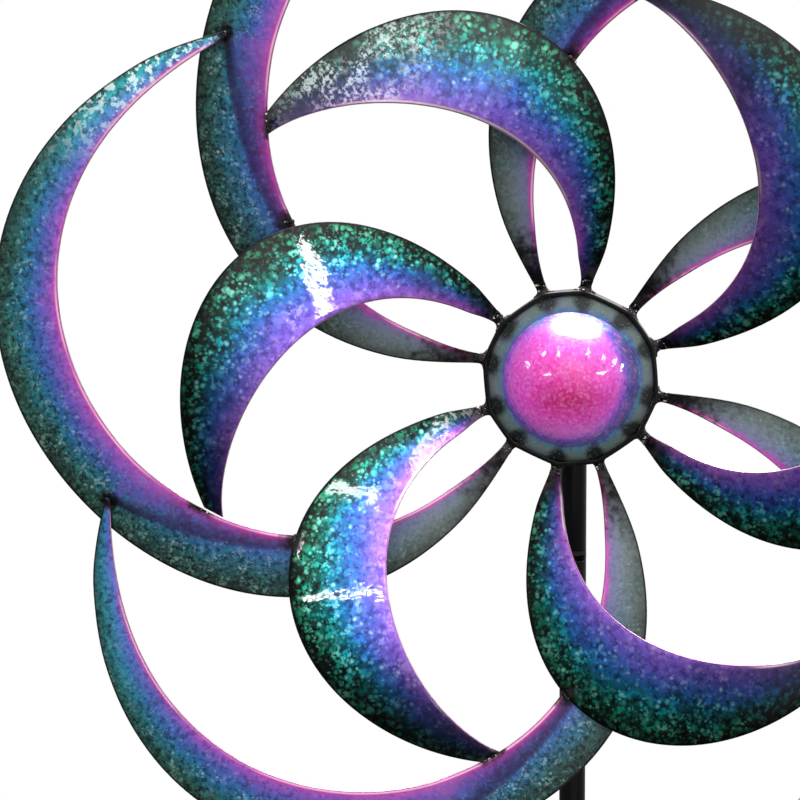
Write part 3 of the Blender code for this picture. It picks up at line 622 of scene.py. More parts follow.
def make_back_enamel():
    mat = MaterialGraph("blade_enamel_deep")
    along, across = mat.attr("blade_u"), mat.attr("blade_v")
    uneven, colour, dots, raised, fine = sponge(mat, along, across, **BACK_SPONGE,
                                                coarse=1.55, gain=0.62)
    # Towards the root the drops give way to the plain field colours; the even greys there are
    # painted shade.
    colour = mat.blend(along.fade(0.24, 0.09, to=(0.0, 0.70)), colour,
                       field(mat, along, uneven, BACK_FIELD))
    colour = fold_colours(mat, colour, along, across, fine)
    # Pale drops towards the tips of all back blades; on one blade they are thick there, a painted
    # highlight.
    bloom = mat.attr("bloom")
    tip = mat.calc("ADD", along.fade(0.70, 0.92) * 0.28, bloom, clamp=True)
    tip = tip * mat.noise(scale=330.0, detail=3.0, rough=0.6).fade(0.42, 0.56, to=(0.15, 1.0))
    tip = tip * across.fade(0.02, 0.30, to=(0.40, 1.0))
    tip_colour = mat.ramp(across, [(0.0, "2ca088"), (0.35, "34c8d4"), (0.65, "5ca8ec"),
                                   (1.0, "a890ec")])
    colour = mat.blend(tip * 0.80, colour, tip_colour)
    # Painted highlight: a near-white frost on the tip of one back blade.
    painted_frost_glint = mat.noise(scale=300.0, rough=0.6).fade(0.50, 0.60) * bloom
    colour = mat.blend(painted_frost_glint * 0.90, colour, "e4ffff")
    colour = painted_edge_light(mat, colour, along, strength=0.90, patches=(0.40, 0.54),
                       glint_halo="e0249c", glint_halo_share=0.72, glint_colour="ffc4ea")
    return finish_enamel(mat, along, colour, dots, raised, fine, root_dark="1a191d", metal=0.32,
                         coat_rough=0.06, peel=0.000020, base_rough=0.48, coat=0.45)


def make_reverse_enamel():
    """The rear of the blades: the same enamel, thinner and duller."""
    mat = MaterialGraph("blade_enamel_reverse")
    along, across, scorch = mat.attr("blade_u"), mat.attr("blade_v"), mat.attr("scorch")
    soft = mat.noise(scale=35.0, detail=3.0)
    fine = mat.noise(scale=240.0, detail=3.0, rough=0.6)
    uneven = mat.calc("ADD", across, soft.scaled(0.5, -0.25), clamp=True)
    colour = mat.ramp(uneven, [(0.0, "10171a"), (0.25, "16302f"), (0.5, "173c50"),
                               (0.7, "233c6a"), (0.9, "3a2f66"), (1.0, "64347a")])
    distance, pick, _ = mat.cells(260.0, 300.0, warp=0.0022)
    drops = distance.fade(0.42, 0.15) * pick.fade(0.45, 0.9)
    colour = mat.blend(drops * 0.45, colour, "4f8d92")
    burn = (scorch + (fine - 0.5) * 0.9).fade(0.25, 0.75).most(along.fade(0.07, 0.02))
    colour = mat.blend(burn * 0.9, colour, "131214")
    grime = mat.noise(scale=20.0, detail=5.0, rough=0.65).fade(0.50, 0.75, to=(0.0, 0.35))
    colour = mat.blend(grime, colour, "22211f")
    waves = mat.bump(mat.noise(scale=38.0, detail=1.0), distance=0.0016, strength=0.5)
    return mat.principled(
        Base_Color=colour, Metallic=0.30, Roughness=fine.scaled(0.2, 0.30),
        Normal=mat.bump(drops + fine * 0.8, distance=0.00010, Normal=waves),
        Coat_Weight=0.8, Coat_Roughness=0.16)


def make_edge():
    """Cut edge of the sheet, thinly lacquered: a painted highlight on the inside of the curve."""
    mat = MaterialGraph("blade_cut_edge")
    along, across, scorch = mat.attr("blade_u"), mat.attr("blade_v"), mat.attr("scorch")
    fine = mat.noise(scale=400.0, detail=3.0, rough=0.7)
    # Painted highlight: pale pink on the inner edge.
    bright = mat.blend(mat.noise(scale=60.0).fade(0.35, 0.65), "d8bcd4", "d884c0")
    colour = mat.blend(across.fade(0.45, 0.55), "0b0c0d", bright)
    colour = mat.blend(fine.fade(0.45, 0.62) * 0.35, colour, "4a3a48")
    burn = scorch.fade(0.2, 0.7).most(along.fade(0.16, 0.04))
    colour = mat.blend(burn * 0.85, colour, "141215")
    scratches = mat.noise(scale=900.0, rough=0.6)
    return mat.principled(
        Base_Color=colour, Metallic=0.55, Roughness=fine.scaled(0.25, 0.22),
        Normal=mat.bump(scratches, distance=0.00005, strength=0.8),
        Coat_Weight=0.5, Coat_Roughness=0.12)


def make_dome():
    """Magenta enamel with a painted reflection at the top. reach: distance from the crown; lean:
    place across; rise: place up.
    """
    mat = MaterialGraph("dome_enamel")
    reach, lean, rise = mat.attr("reach"), mat.attr("lean"), mat.attr("rise")
    soft = mat.noise(scale=70.0, detail=3.0)
    fine = mat.noise(scale=330.0, detail=3.0, rough=0.6)
    zone = reach + soft.scaled(0.10, -0.05) + fine.scaled(0.09, -0.045) + lean * 0.120
    colour = mat.ramp(zone, [(0.0, "e22a98"), (0.25, "e62ea6"), (0.50, "ec3cbe"),
                             (0.74, "ec52d6"), (0.83, "cc60e4"), (0.88, "8650dc"),
                             (0.93, "444cc4"), (1.0, "4458a8")])
    ruby = mat.calc("ABSOLUTE", rise + 0.28).fade(0.40, 0.0) * reach.fade(0.75, 0.10)
    colour = mat.blend(ruby * 0.92, colour, "bc0f58")
    pale = rise.fade(-0.46, -0.74) * reach.fade(0.93, 0.78)
    colour = mat.blend(pale * 0.50, colour, "d77fdc")
    # Painted reflection: cyan and blue at the top of the dome, beside the highlight.
    top = rise.fade(0.66, 0.92) * fine.fade(0.35, 0.55, to=(0.4, 1.0))
    crown_reflection_colour = mat.blend(soft.fade(0.42, 0.58), "3a6fc4", "3cc0c8")
    colour = mat.blend(top * 0.75, colour, crown_reflection_colour)
    mottle = mat.noise(scale=200.0, detail=3.0, rough=0.6).fade(0.42, 0.62)
    colour = mat.blend(mottle * 0.24, colour, "ee80d6")
    sand = mat.noise(scale=520.0, rough=0.6)
    colour = mat.blend(sand.fade(0.48, 0.34) * 0.30, colour, "a01870")
    colour = mat.blend(sand.fade(0.52, 0.66) * 0.34, colour, "ff9ce6")
    veins = mat.noise(scale=150.0, detail=4.0, rough=0.7).fade(0.58, 0.68)
    colour = mat.blend(veins * 0.25, colour, "9c1c66")
    distance, pick, _ = mat.cells(420.0, 420.0, warp=0.0014)
    dots = distance.fade(0.34, 0.16) * pick.fade(0.72, 0.95)
    colour = mat.blend(dots * 0.50, colour, "7c1a4e")
    peel = mat.noise(scale=230.0) + mat.noise(scale=90.0, detail=1.0) * 1.4
    return mat.principled(
        Base_Color=colour, Metallic=0.22, Roughness=fine.scaled(0.14, 0.40),
        Normal=mat.bump(peel, distance=0.00016),
        Coat_Weight=1.0, Coat_IOR=1.62, Coat_Roughness=0.02,
        Coat_Normal=mat.bump(peel, distance=0.00018))


def make_flange():
    """Dull blue-grey enamel round the dome; reach is the radius in millimetres."""
    mat = MaterialGraph("flange_enamel")
    reach, scorch, lean = mat.attr("reach"), mat.attr("scorch"), mat.attr("lean")
    soft = mat.noise(scale=80.0, detail=3.0)
    fine = mat.noise(scale=300.0, detail=3.0, rough=0.6)
    zone = reach + soft.scaled(2.4, -1.2)
    colour = mat.ramp(zone.fade(36.5, 46.5, smooth=False),
                      [(0.0, "4c60a8"), (0.14, "5470a0"), (0.30, "647a80"), (0.55, "6a7c76"),
                       (0.80, "58665f"), (1.0, "2c3432")])
    tint = mat.blend(soft.fade(0.42, 0.62), "4c625a", "66688a")
    colour = mat.blend(0.35, colour, tint)
    blue = zone.fade(42.0, 38.0) * lean.fade(-0.2, 0.7, to=(0.35, 1.0))
    colour = mat.blend(blue * 0.75, colour, mat.blend(fine.fade(0.4, 0.6), "3a3fa6", "3c8fa8"))
    burn = (scorch + soft.scaled(1.2, -0.60)).fade(0.10, 0.72)
    colour = mat.blend(burn * 0.96, colour, "0c1012")
    specks = mat.noise(scale=700.0).fade(0.58, 0.70)
    colour = mat.blend(specks * 0.14, colour, "b9c7c4")
    return mat.principled(
        Base_Color=colour, Metallic=0.30, Roughness=fine.scaled(0.2, 0.36),
        Normal=mat.bump(mat.noise(scale=200.0) + fine * 0.5, distance=0.00012),
        Coat_Weight=0.5, Coat_Roughness=0.22)


def make_black(name, base, warm, gloss, peel_scale, peel):
    """Black powder coat: fine orange peel, scuffs, metal showing at rubbed edges."""
    mat = MaterialGraph(name)
    soft = mat.noise(scale=30.0, detail=4.0, rough=0.6)
    fine = mat.noise(scale=500.0, detail=3.0, rough=0.6)
    colour = mat.blend(soft.fade(0.35, 0.70), base, warm)
    wear = (mat.edge_wear(radius=0.0006)
            * mat.noise(scale=120.0, detail=3.0, rough=0.7).fade(0.46, 0.62))
    colour = mat.blend(wear * 0.75, colour, "5b5a5c")
    scuff = mat.noise(scale=160.0, detail=5.0, rough=0.75, distort=1.5).fade(0.66, 0.74)
    colour = mat.blend(scuff * 0.30, colour, "4a4947")
    return mat.principled(
        Base_Color=colour, Metallic=wear * 0.8,
        Roughness=soft.scaled(0.18, gloss) + scuff * 0.2,
        Normal=mat.bump(mat.noise(scale=peel_scale) + fine * 0.3, distance=peel),
        Specular_IOR_Level=0.30, Coat_Weight=0.20, Coat_Roughness=fine.scaled(0.12, 0.06))


def make_weld():
    """Weld metal under black lacquer: sooty hollows, a painted glint on the rounded tops, and small
    white specks of painted glint.
    """
    mat = MaterialGraph("weld_metal")
    soft = mat.noise(scale=140.0, detail=3.0, rough=0.6)
    fine = mat.noise(scale=600.0, detail=3.0, rough=0.7)
    pointed = mat.add("ShaderNodeNewGeometry", output="Pointiness")
    colour = mat.blend(soft.fade(0.35, 0.65), "0d0d0f", "2a2528")
    # Painted highlight: a glint on the rounded tops.
    glint = pointed.fade(0.50, 0.56) * soft.fade(0.38, 0.60)
    colour = mat.blend(glint * 0.42, colour, "8c8682")
    heat = mat.noise(scale=90.0).fade(0.55, 0.72)
    colour = mat.blend(heat * 0.35, colour, "4a3550")
    # Painted highlight: small white specks of glint.
    painted_glint_specks = mat.noise(scale=420.0, rough=0.6).fade(0.60, 0.66)
    colour = mat.blend(painted_glint_specks * 0.9, colour, "e8e4e2")
    return mat.principled(
        Base_Color=colour, Metallic=mat.lerp(painted_glint_specks, 0.85, 0.2),
        Roughness=fine.scaled(0.25, 0.16),
        Normal=mat.bump(fine + soft * 1.5, distance=0.00025),
        Coat_Weight=0.6, Coat_Roughness=0.08)


def make_metal(name, base, dark, rough):
    """Bare or plated metal with fine grain, stains and worn edges."""
    mat = MaterialGraph(name)
    soft = mat.noise(scale=60.0, detail=4.0, rough=0.6)
    fine = mat.noise(scale=700.0, detail=3.0, rough=0.6)
    colour = mat.blend(soft.fade(0.35, 0.70), base, dark)
    spots = mat.noise(scale=240.0, detail=4.0, rough=0.7).fade(0.64, 0.74)
    colour = mat.blend(spots * 0.5, colour, "4b4038")
    colour = mat.blend(mat.edge_wear(radius=0.0005) * 0.5, colour, "f0eee8")
    return mat.principled(
        Base_Color=colour, Metallic=0.95, Roughness=fine.scaled(0.18, rough) + spots * 0.25,
        Normal=mat.bump(fine, distance=0.00004))


def make_nylon():
    mat = MaterialGraph("bush_nylon")
    soft, fine = mat.noise(scale=80.0, detail=3.0), mat.noise(scale=500.0)
    colour = mat.blend(soft, "1b1b1d", "26262a")
    colour = mat.blend(mat.edge_wear(radius=0.0005) * 0.4, colour, "4b4b50")
    return mat.principled(Base_Color=colour, Roughness=soft.scaled(0.2, 0.42),
                          Normal=mat.bump(fine, distance=0.00004))


FRONT_ENAMEL = make_front_enamel()
BACK_ENAMEL = make_back_enamel()
REVERSE = make_reverse_enamel()
EDGE = make_edge()
DOME = make_dome()
FLANGE = make_flange()
GLOSS_BLACK = make_black("gloss_black", base="020202", warm="060405", gloss=0.14,
                         peel_scale=200.0, peel=0.00005)
POWDER = make_black("black_powder_coat", base="070708", warm="0e0d10", gloss=0.34,
                    peel_scale=420.0, peel=0.00006)
WELD = make_weld()
ZINC = make_metal("zinc_steel", base="b9bcc0", dark="8f9298", rough=0.24)
STEEL = make_metal("bearing_steel", base="cfd0d2", dark="a9abb0", rough=0.12)
BRASS = make_metal("cage_brass", base="c9a24e", dark="94712f", rough=0.26)
NYLON = make_nylon()
OXIDE = make_metal("black_oxide_steel", base="1a1a1c", dark="0c0c0e", rough=0.30)


def dress(ob, *materials, parts=None):
    """Give the mesh its materials; parts is the material index of each face."""
    for material in materials:
        ob.data.materials.append(material)
    ob.data.polygons.foreach_set("material_index", parts or [0] * len(ob.data.polygons))


def place(ob, body, *materials, slot="black_powder_coat", node=None, parts=None):
    """Dress a piece, hang it on its moving body and let it stand for a CAD node."""
    dress(ob, *materials, parts=parts)
    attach(ob, body)
    if node:
        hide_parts(node)


def weld(name, rings, body):
    place(loft(name, rings, sharp=80), body, WELD)


# ---------------------------------------------------------------- blade design

# sweep: +1 curves anticlockwise seen from the front. root: wheel angle of the first root, degrees.
# outer, inner: Bezier control points of the edges (radius, degrees past the root by the sweep).
# rise, crown, skew: forward height at the tip, bulge on the way, and the bulge's shift tipwards.
# waist: share of the width left at the root.
BLADES = {
    "front": dict(
        sweep=1.0, root=22.5, rise=50.0, crown=22.6, skew=5.0, waist=0.64,
        outer=((50.5, -6.0), (200.0, -11.6), (254.0, 23.5), (211.0, 55.6)),
        inner=((50.5, 3.6), (159.0, 2.6), (195.5, 42.0), (204.0, 57.4))),
    "back": dict(
        sweep=-1.0, root=45.5, rise=56.7, crown=28.6, skew=-10.0, waist=0.72,
        outer=((50.5, -6.6), (315.0, -13.0), (470.0, 54.0), (256.0, 91.4)),
        inner=((50.5, 1.4), (263.0, -0.6), (388.0, 55.5), (252.0, 90.6))),
}
PITCH = 60.0            # degrees from one blade to the next in a ring
SHEET = 0.8             # sheet thickness
TIP_WELD_GAP = 0.4      # from a front blade's tip to the back blade it is welded to
U_STEPS, V_STEPS = 110, 16
CROSSING = round(0.415 * U_STEPS)       # station where a front blade crosses a back blade's edge
EDGE_STEPS = 4          # points round each cut edge


def edge_curve(ring, side, root):
    sweep = BLADES[ring]["sweep"]
    p = []
    for radius, degrees in BLADES[ring][side]:
        angle = math.radians(root + sweep * degrees)
        p.append(np.array([radius * math.cos(angle), radius * math.sin(angle)]))
    t = np.linspace(0.0, 1.0, 400)[:, None]
    return ((1 - t) ** 3 * p[0] + 3 * t * (1 - t) ** 2 * p[1] + 3 * t ** 2 * (1 - t) * p[2]
            + t ** 3 * p[3])


def distance_to(points, curve):
    start, run = curve[:-1], np.diff(curve, axis=0)
    w = np.clip(((points[:, None] - start) * run).sum(2) / (run * run).sum(1), 0.0, 1.0)
    return np.linalg.norm(points[:, None] - (start + w[..., None] * run), axis=2).min(1)


def trimmed(curve, fence):
    """The curve up to where its second half first comes within the weld gap of the fence."""
    half = len(curve) // 2
    gaps = distance_to(curve[half:], fence)
    hits = np.nonzero(gaps < TIP_WELD_GAP)[0]
    if not len(hits):
        return curve
    first = hits[0]
    before = gaps[first - 1] if first else TIP_WELD_GAP
    w = (before - TIP_WELD_GAP) / max(before - gaps[first], 1e-9)
    k = half + first
    return np.vstack([curve[:k], curve[k - 1] + w * (curve[k] - curve[k - 1])])


def blade_grid(ring, root, stations, strips):
    """Middle surface of a blade: rows from root to tip, columns from outer to inner edge."""
    outer, inner = edge_curve(ring, "outer", root), edge_curve(ring, "inner", root)
    host_root = BLADES["back"]["root"] + PITCH        # the back blade a front tip is welded to
    if ring == "front":
        fence = edge_curve("back", "inner", host_root)
        outer, inner = trimmed(outer, fence), trimmed(inner, fence)
    outer, inner = resample(outer, stations + 1), resample(inner, stations + 1)
    v = np.linspace(0.0, 1.0, strips + 1)[None, :, None]
    flat = outer[:, None, :] * (1.0 - v) + inner[:, None, :] * v
    t = np.linspace(0.0, 1.0, stations + 1)
    design = BLADES[ring]
    bulge = design["crown"] + design["skew"] * (2.0 * t - 1.0)
    height = design["rise"] * t + 4.0 * t * (1.0 - t) * bulge
    height = np.repeat(height[:, None], strips + 1, axis=1)
    if ring == "front":
        host = blade_grid("back", host_root, 4000, 2)[:, -1]
        ease = smoothstep((t - 0.72) / (1.0 - 0.72))
        for j in range(strips + 1):
            k = np.hypot(*(host[:, :2] - flat[-1, j]).T).argmin()
            height[:, j] += (host[k, 2] - height[-1, j]) * ease
    return np.concatenate([flat, height[:, :, None]], axis=2)


def turn(points, degrees):
    """Turned anticlockwise about the wheel axis, seen from the front."""
    cos, sin = math.cos(math.radians(degrees)), math.sin(math.radians(degrees))
    x, y, z = np.moveaxis(np.array(points, float), -1, 0)
    return np.stack([x * cos - y * sin, x * sin + y * cos, z], axis=-1)


def necked(grid, waist):
    """Draw the first stations in towards their middle: the root is narrower."""
    t = np.linspace(0.0, 1.0, len(grid)) / 0.085
    share = (waist + (1.0 - waist) * smoothstep(t))[:, None, None]
    middle = (grid[:, :1] + grid[:, -1:]) / 2.0
    return middle + (grid - middle) * np.concatenate([share, share, np.ones_like(share)], axis=2)


def fuller(grid):
    """Widen a back blade's tip half, and make its tip longer and more pointed."""
    t = np.linspace(0.0, 1.0, len(grid))[:, None]
    share = np.linspace(0.0, 1.0, grid.shape[1])[None, :]
    inside = np.interp(t, (0.0, 0.45, 0.75, 0.92, 1.0), (0.0, 0.0, 0.9, 0.9, 0.4))
    outside = np.interp(t, (0.0, 0.88, 0.94, 1.0), (0.0, 0.0, -0.5, -2.6))
    wider = inside * share - outside * (1.0 - share)
    across = level_unit(grid[:, -1] - grid[:, 0])
    along = level_unit(np.gradient(grid.mean(1), axis=0))
    longer = 4.5 * np.clip((t - 0.90) / 0.10, 0.0, 1.0)
    return grid + wider[..., None] * across[:, None] + longer[..., None] * along[:, None]


front_grid = blade_grid("front", BLADES["front"]["root"], U_STEPS, V_STEPS)
back_grid = fuller(blade_grid("back", BLADES["back"]["root"], U_STEPS, V_STEPS))
GRIDS = {"front": necked(front_grid, BLADES["front"]["waist"]),
         "back": necked(back_grid, BLADES["back"]["waist"])}
FRONT_TIP, BACK_TIP = GRIDS["front"][-1], GRIDS["back"][-1]


def scorch_at(points):
    """1 at a weld, fading over a few millimetres."""
    spots = [(q, 4.2) for q in FRONT_TIP[::4]]
    spots += [(GRIDS["front"][CROSSING, 0], 8.5)]
    spots += [(q, 5.5) for q in BACK_TIP[::8]]
    scorch = np.zeros(points.shape[:-1])
    for k in range(6):
        for spot, size in spots:
            away = (points - turn(spot, PITCH * k)) * np.array([1.0, 1.0, 0.8])
            distance = np.linalg.norm(away, axis=-1)
            scorch = np.maximum(scorch, np.exp(-(distance / size) ** 2))
    return scorch


def pull_in(grid):
    """Shift a blade right, down and back, more towards the tip."""
    stations = (0.0, 0.12, 0.30, 0.45, 0.60, 0.80, 1.0)
    t = np.linspace(0.0, 1.0, len(grid))
    for axis, shifts in enumerate(((0.0, 0.3, 2.2, 4.8, 6.3, 6.7, 6.7),
                                   (0.0, -0.8, -1.8, -1.4, -0.6, -1.4, -2.4))):
        padded = np.pad(np.interp(t, stations, shifts), 8, mode="edge")
        grid[..., axis] += np.convolve(padded, np.ones(17) / 17.0, mode="valid")[:, None]
    grid[..., 2] -= 1.1 * (t ** 3)[:, None]


def widen_outside(grid):
    """Widen a blade on its outer edge, towards the tip."""
    rows, columns = grid.shape[:2]
    extra = np.interp(np.linspace(0.0, 1.0, rows), (0.0, 0.69, 0.77, 0.86, 0.93, 0.98, 1.0),
                      (0.0, 0.0, 1.2, 3.0, 2.8, 0.8, 0.0))
    side = level_unit(grid[:, -1] - grid[:, 0])
    share = extra[:, None] * np.linspace(1.0, 0.0, columns)
    grid -= share[..., None] * side[:, None]


def lean_strip(grid, u, v):
    """Lean the strip inside the fold of a back blade backwards."""
    (u0, v0), (u1, v1) = FOLD_FROM, FOLD_TO
    s = (u0 - u) / (u0 - u1)
    bow = np.where(s < 0.81, FOLD_RISE * s + FOLD_SAG * s * s, 0.7205)
    past = np.clip(v - (v0 + (v1 - v0) * bow), 0.0, 1.0)
    ease = smoothstep(np.clip(s / 0.20, 0.0, 1.0) * np.clip((1.0 - s) / 0.35, 0.0, 1.0))
    grid[..., 2] -= ease * past * 4.0


def sheet_loops(grid):
    """Thicken a middle surface: each station becomes a closed loop of points.

    The loop runs over the front face, the inner edge, the rear face and the outer edge.
    Returns the points and, for each point of a loop, the grid column it belongs to.
    """
    half, last = SHEET / 2.0, grid.shape[1] - 1
    across = np.gradient(grid, axis=1)
    normal = unit(np.cross(np.gradient(grid, axis=0), across))
    normal *= np.sign(normal[..., 2:3])
    across = unit(across)
    inset = np.zeros((last + 1, 1))
    inset[0], inset[-1] = half, -half
    middle = grid + across * inset
    angles = [math.pi * (i + 1) / (EDGE_STEPS + 1) for i in range(EDGE_STEPS)]
    loop = [(middle[:, j] + normal[:, j] * half, j) for j in range(last + 1)]
    loop += [(middle[:, -1] + half * (math.sin(a) * across[:, -1] + math.cos(a) * normal[:, -1]),
              last) for a in angles]
    loop += [(middle[:, j] - normal[:, j] * half, j) for j in reversed(range(last + 1))]
    loop += [(middle[:, 0] - half * (math.sin(a) * across[:, 0] + math.cos(a) * normal[:, 0]),
              0) for a in angles]
    return np.stack([points for points, _ in loop], axis=1), [column for _, column in loop]


def sheet_faces(rows, columns, loop):
    """Faces of a thickened sheet and their part: 0 front, 1 rear, 2 cut edge."""
    def index(i, j):
        return i * loop + (j % loop)

    rear = columns + EDGE_STEPS                       # where the rear face begins in the loop
    rear_end = rear + columns - 1
    faces, parts = [], []
    for i in range(rows - 1):
        for j in range(loop):
            faces.append((index(i, j), index(i, j + 1), index(i + 1, j + 1), index(i + 1, j)))
            parts.append(0 if j < columns - 1 else 1 if rear <= j < rear_end else 2)
    for i, order in ((0, 1), (rows - 1, -1)):
        # Ends: pair the front face with the rear face, then close each rounded edge.
        for j in range(columns - 1):
            quad = (index(i, j), index(i, j + 1), index(i, rear_end - 1 - j),
                    index(i, rear_end - j))
            faces.append(quad[::order])
        for start, stop in ((columns - 1, rear + 1), (rear_end, rear_end + EDGE_STEPS + 2)):
            faces.append(tuple(index(i, j) for j in range(start, stop))[::order])
        parts += [2] * (columns + 1)
    return faces, parts


def build_blade(ring, k):
    front = ring == "front"
    grid = turn(GRIDS[ring], PITCH * k)
    if front and k == 2:
        pull_in(grid)
    if not front and k in (3, 4):
        widen_outside(grid)
    # A hair under the drawn size, so the smooth outline stays inside the CAD's faceted one.
    grid[..., :2] *= 0.9983
    rows, columns = grid.shape[:2]
    u = np.linspace(0.0, 1.0, rows)[:, None] * np.ones((1, columns))
    v = np.linspace(0.0, 1.0, columns)[None, :] * np.ones((rows, 1))
    # Hand-bent sheet is never quite true: slow waves, held to nothing at the welded ends.
    hold = np.clip(np.minimum(u, 1.0 - u) / 0.12, 0.0, 1.0)
    flat = grid.reshape(-1, 3)
    wave = (0.30 * lumps(flat, 0.020, 3.1 * k + (0.0 if front else 40.0))
            + 0.07 * lumps(flat, 0.060, 5.7 * k + 11.0)).reshape(rows, columns)
    grid[..., 2] += hold * (wave - 0.30)
    # The blade is dished a little across its width, and both edges lie back.
    width = np.linalg.norm(grid[:, -1] - grid[:, 0], axis=1)[:, None]
    grid[..., 2] -= hold * 0.022 * width * (2.0 * v - 1.0) ** 2
    if not front:
        lean_strip(grid, u, v)
    # Two of the blades get a painted highlight near the tip: pale patches, and on the back blade a
    # near-white frost.
    bloom = np.zeros_like(u)
    if front and k == 1:
        bloom = (np.interp(u, (0.60, 0.72, 0.90, 0.97), (0.0, 1.0, 1.0, 0.2))
                 * np.interp(v, (0.0, 0.12, 1.0), (0.6, 1.0, 0.8)))
    if not front and k == 3:
        bloom = np.interp(u, (0.80, 0.91, 1.0), (0.0, 1.0, 1.0))
    # How much less painted shade this blade gets towards its tip than the others.
    laid = np.full_like(u, 0.65 if front and k == 2 else 0.0)

    verts, owners = sheet_loops(grid)
    faces, parts = sheet_faces(rows, columns, len(owners))
    ob = solid(f"{ring}_blade_sheet_{k + 1}", wheel(verts.reshape(-1, 3)), faces, sharp=60)
    values = dict(blade_u=u, blade_v=v, scorch=scorch_at(grid), bloom=bloom, laid=laid,
                  inner_mm=width * (1.0 - v), outer_mm=width * v)
    float_attributes(ob, **{label: data[:, owners] for label, data in values.items()})
    place(ob, "wheel", FRONT_ENAMEL if front else BACK_ENAMEL, REVERSE, EDGE, parts=parts,
          slot="blade_enamel_bright" if front else "blade_enamel_deep",
          node=f"{ring}_blade_{k + 1}")


for ring in ("front", "back"):
    for k in range(6):
        build_blade(ring, k)


# ------------------------------------------------------------------------ hub

AXLE = (0.0, -1.0, 0.0)
RIM_R, RIM_WALL = 50.0, 2.3
DOME_R, DOME_H, DOME_BASE = 37.5, 24.0, 9.3


def root_middle(ring, k):
    """Wheel angle, in degrees, of the middle of a blade root."""
    design = BLADES[ring]
    offset = (design["outer"][0][1] + design["inner"][0][1]) / 2.0
    return design["root"] + PITCH * k + design["sweep"] * offset


ROOT_MIDDLES = sorted(root_middle(ring, k) for ring in BLADES for k in range(6))


def hub_lathe(name, profile, **options):
    """Revolve (radius, forward) pairs about the wheel axis."""
    return lathe(name, profile, tuple(HUB), AXLE, **options)


def forward_span(node):
    """Front and rear of a CAD node, forward of the wheel's plane, in millimetres."""
    low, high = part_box(node)
    return (HUB.y - low.y) / MM, (HUB.y - high.y) / MM


def rim_shape(angle, radius, height):
    """The rim is drawn nearly straight from one blade root to the next."""
    x_dir, y_dir, _ = axis_frame(AXLE)
    spokes = np.cos(angle)[:, None] * x_dir + np.sin(angle)[:, None] * y_dir
    degrees = np.degrees(np.arctan2(spokes[:, 2], spokes[:, 0]))
    middles = np.array(ROOT_MIDDLES + [ROOT_MIDDLES[0] + 360.0, ROOT_MIDDLES[1] + 360.0])
    degrees = (degrees - middles[0]) % 360.0 + middles[0]
    k = np.searchsorted(middles, degrees, side="right") - 1
    low, high = middles[k], middles[k + 1]
    straight = np.cos(np.radians(high - low) / 2.0) / np.cos(np.radians(degrees - (low + high) / 2))
    return radius * (0.18 + 0.82 * straight)


def hub_attributes(ob, scale, scorching=False):
    """reach: distance from the axis; lean and rise: place across and up the hub face."""
    co = np.empty(len(ob.data.vertices) * 3)
    ob.data.vertices.foreach_get("co", co)
    co = co.reshape(-1, 3)
    x, y = (co[:, 0] - HUB.x) / MM, (co[:, 2] - HUB.z) / MM
    radius = np.hypot(x, y)
    named = dict(reach=radius * scale, lean=(x - 0.45 * y) / 44.0, rise=y / DOME_R)
    if scorching:
        degrees = np.degrees(np.arctan2(y, x))
        named["scorch"] = np.zeros(len(co))
        for middle in ROOT_MIDDLES:
            off = (degrees - middle + 180.0) % 360.0 - 180.0
            burn = np.exp(-(off / 7.6) ** 2) * np.clip((radius - 36.5) / 6.5, 0.0, 1.0)
            named["scorch"] = np.maximum(named["scorch"], burn)
    float_attributes(ob, **named)


def build_rim():
    front, back = forward_span("hub_rim")
    inside, outside = RIM_R - RIM_WALL, RIM_R - 0.06
    profile = rounded([(inside - 0.4, front - 0.05), (outside, front - 0.05),
                       (outside, back + 0.05), (inside, back + 0.05), (inside, front - 1.6),
                       (inside - 0.4, front - 1.2)], 0.55, 4)
    rim = hub_lathe("hub_rim_strip", profile, count=360, shape=rim_shape)
    place(rim, "wheel", GLOSS_BLACK, node="hub_rim")


def build_flange():
    profile = rounded([(13.8, 9.0), (39.0, 9.0), (43.0, 8.2), (47.4, 6.4), (47.4, 5.5),
                       (42.5, 7.2), (38.8, 8.05), (13.8, 8.05)], 0.3, 2)
    flange = hub_lathe("hub_flange_plate", profile, count=360)
    hub_attributes(flange, 1.0, scorching=True)
    place(flange, "wheel", FLANGE, slot="flange_enamel", node="hub_flange")


def build_dome():
    """A spherical cap, 1 mm thick."""
    ball = (DOME_R ** 2 + DOME_H ** 2) / (2.0 * DOME_H)
    centre = DOME_BASE + DOME_H - ball
    shrink = (ball - 1.0) / ball
    outer = [(ball * math.sin(a), centre + ball * math.cos(a))
             for a in np.linspace(0.0006, math.asin(DOME_R / ball), 64)]
    inner = [(max(r, 0.01) * shrink, max(centre + (h - centre) * shrink, DOME_BASE))
             for r, h in outer[::-4]]
    lip = [(DOME_R + 0.02, DOME_BASE + 0.28), (DOME_R - 0.1, DOME_BASE + 0.04),
           (DOME_R - 0.5, DOME_BASE)]
    highest = forward_span("dome_cap")[0] - 0.02
    profile = [(r, min(h, highest)) for r, h in outer] + lip + inner
    dome = hub_lathe("dome_cap_shell", profile, count=192, closed=False, sharp=50)
    hub_attributes(dome, 1.0 / DOME_R)
    place(dome, "wheel", DOME, slot="dome_enamel", node="dome_cap")


def build_housing():
    profile = rounded([(9.6, 8.8), (11.3, 8.8), (11.3, 17.0), (13.5, 17.0), (13.5, -17.0),
                       (11.3, -17.0), (11.3, -8.8), (9.6, -8.8)], 0.35, 2)
    place(hub_lathe("hub_housing_tube", profile, count=128), "wheel", POWDER, node="hub_housing")


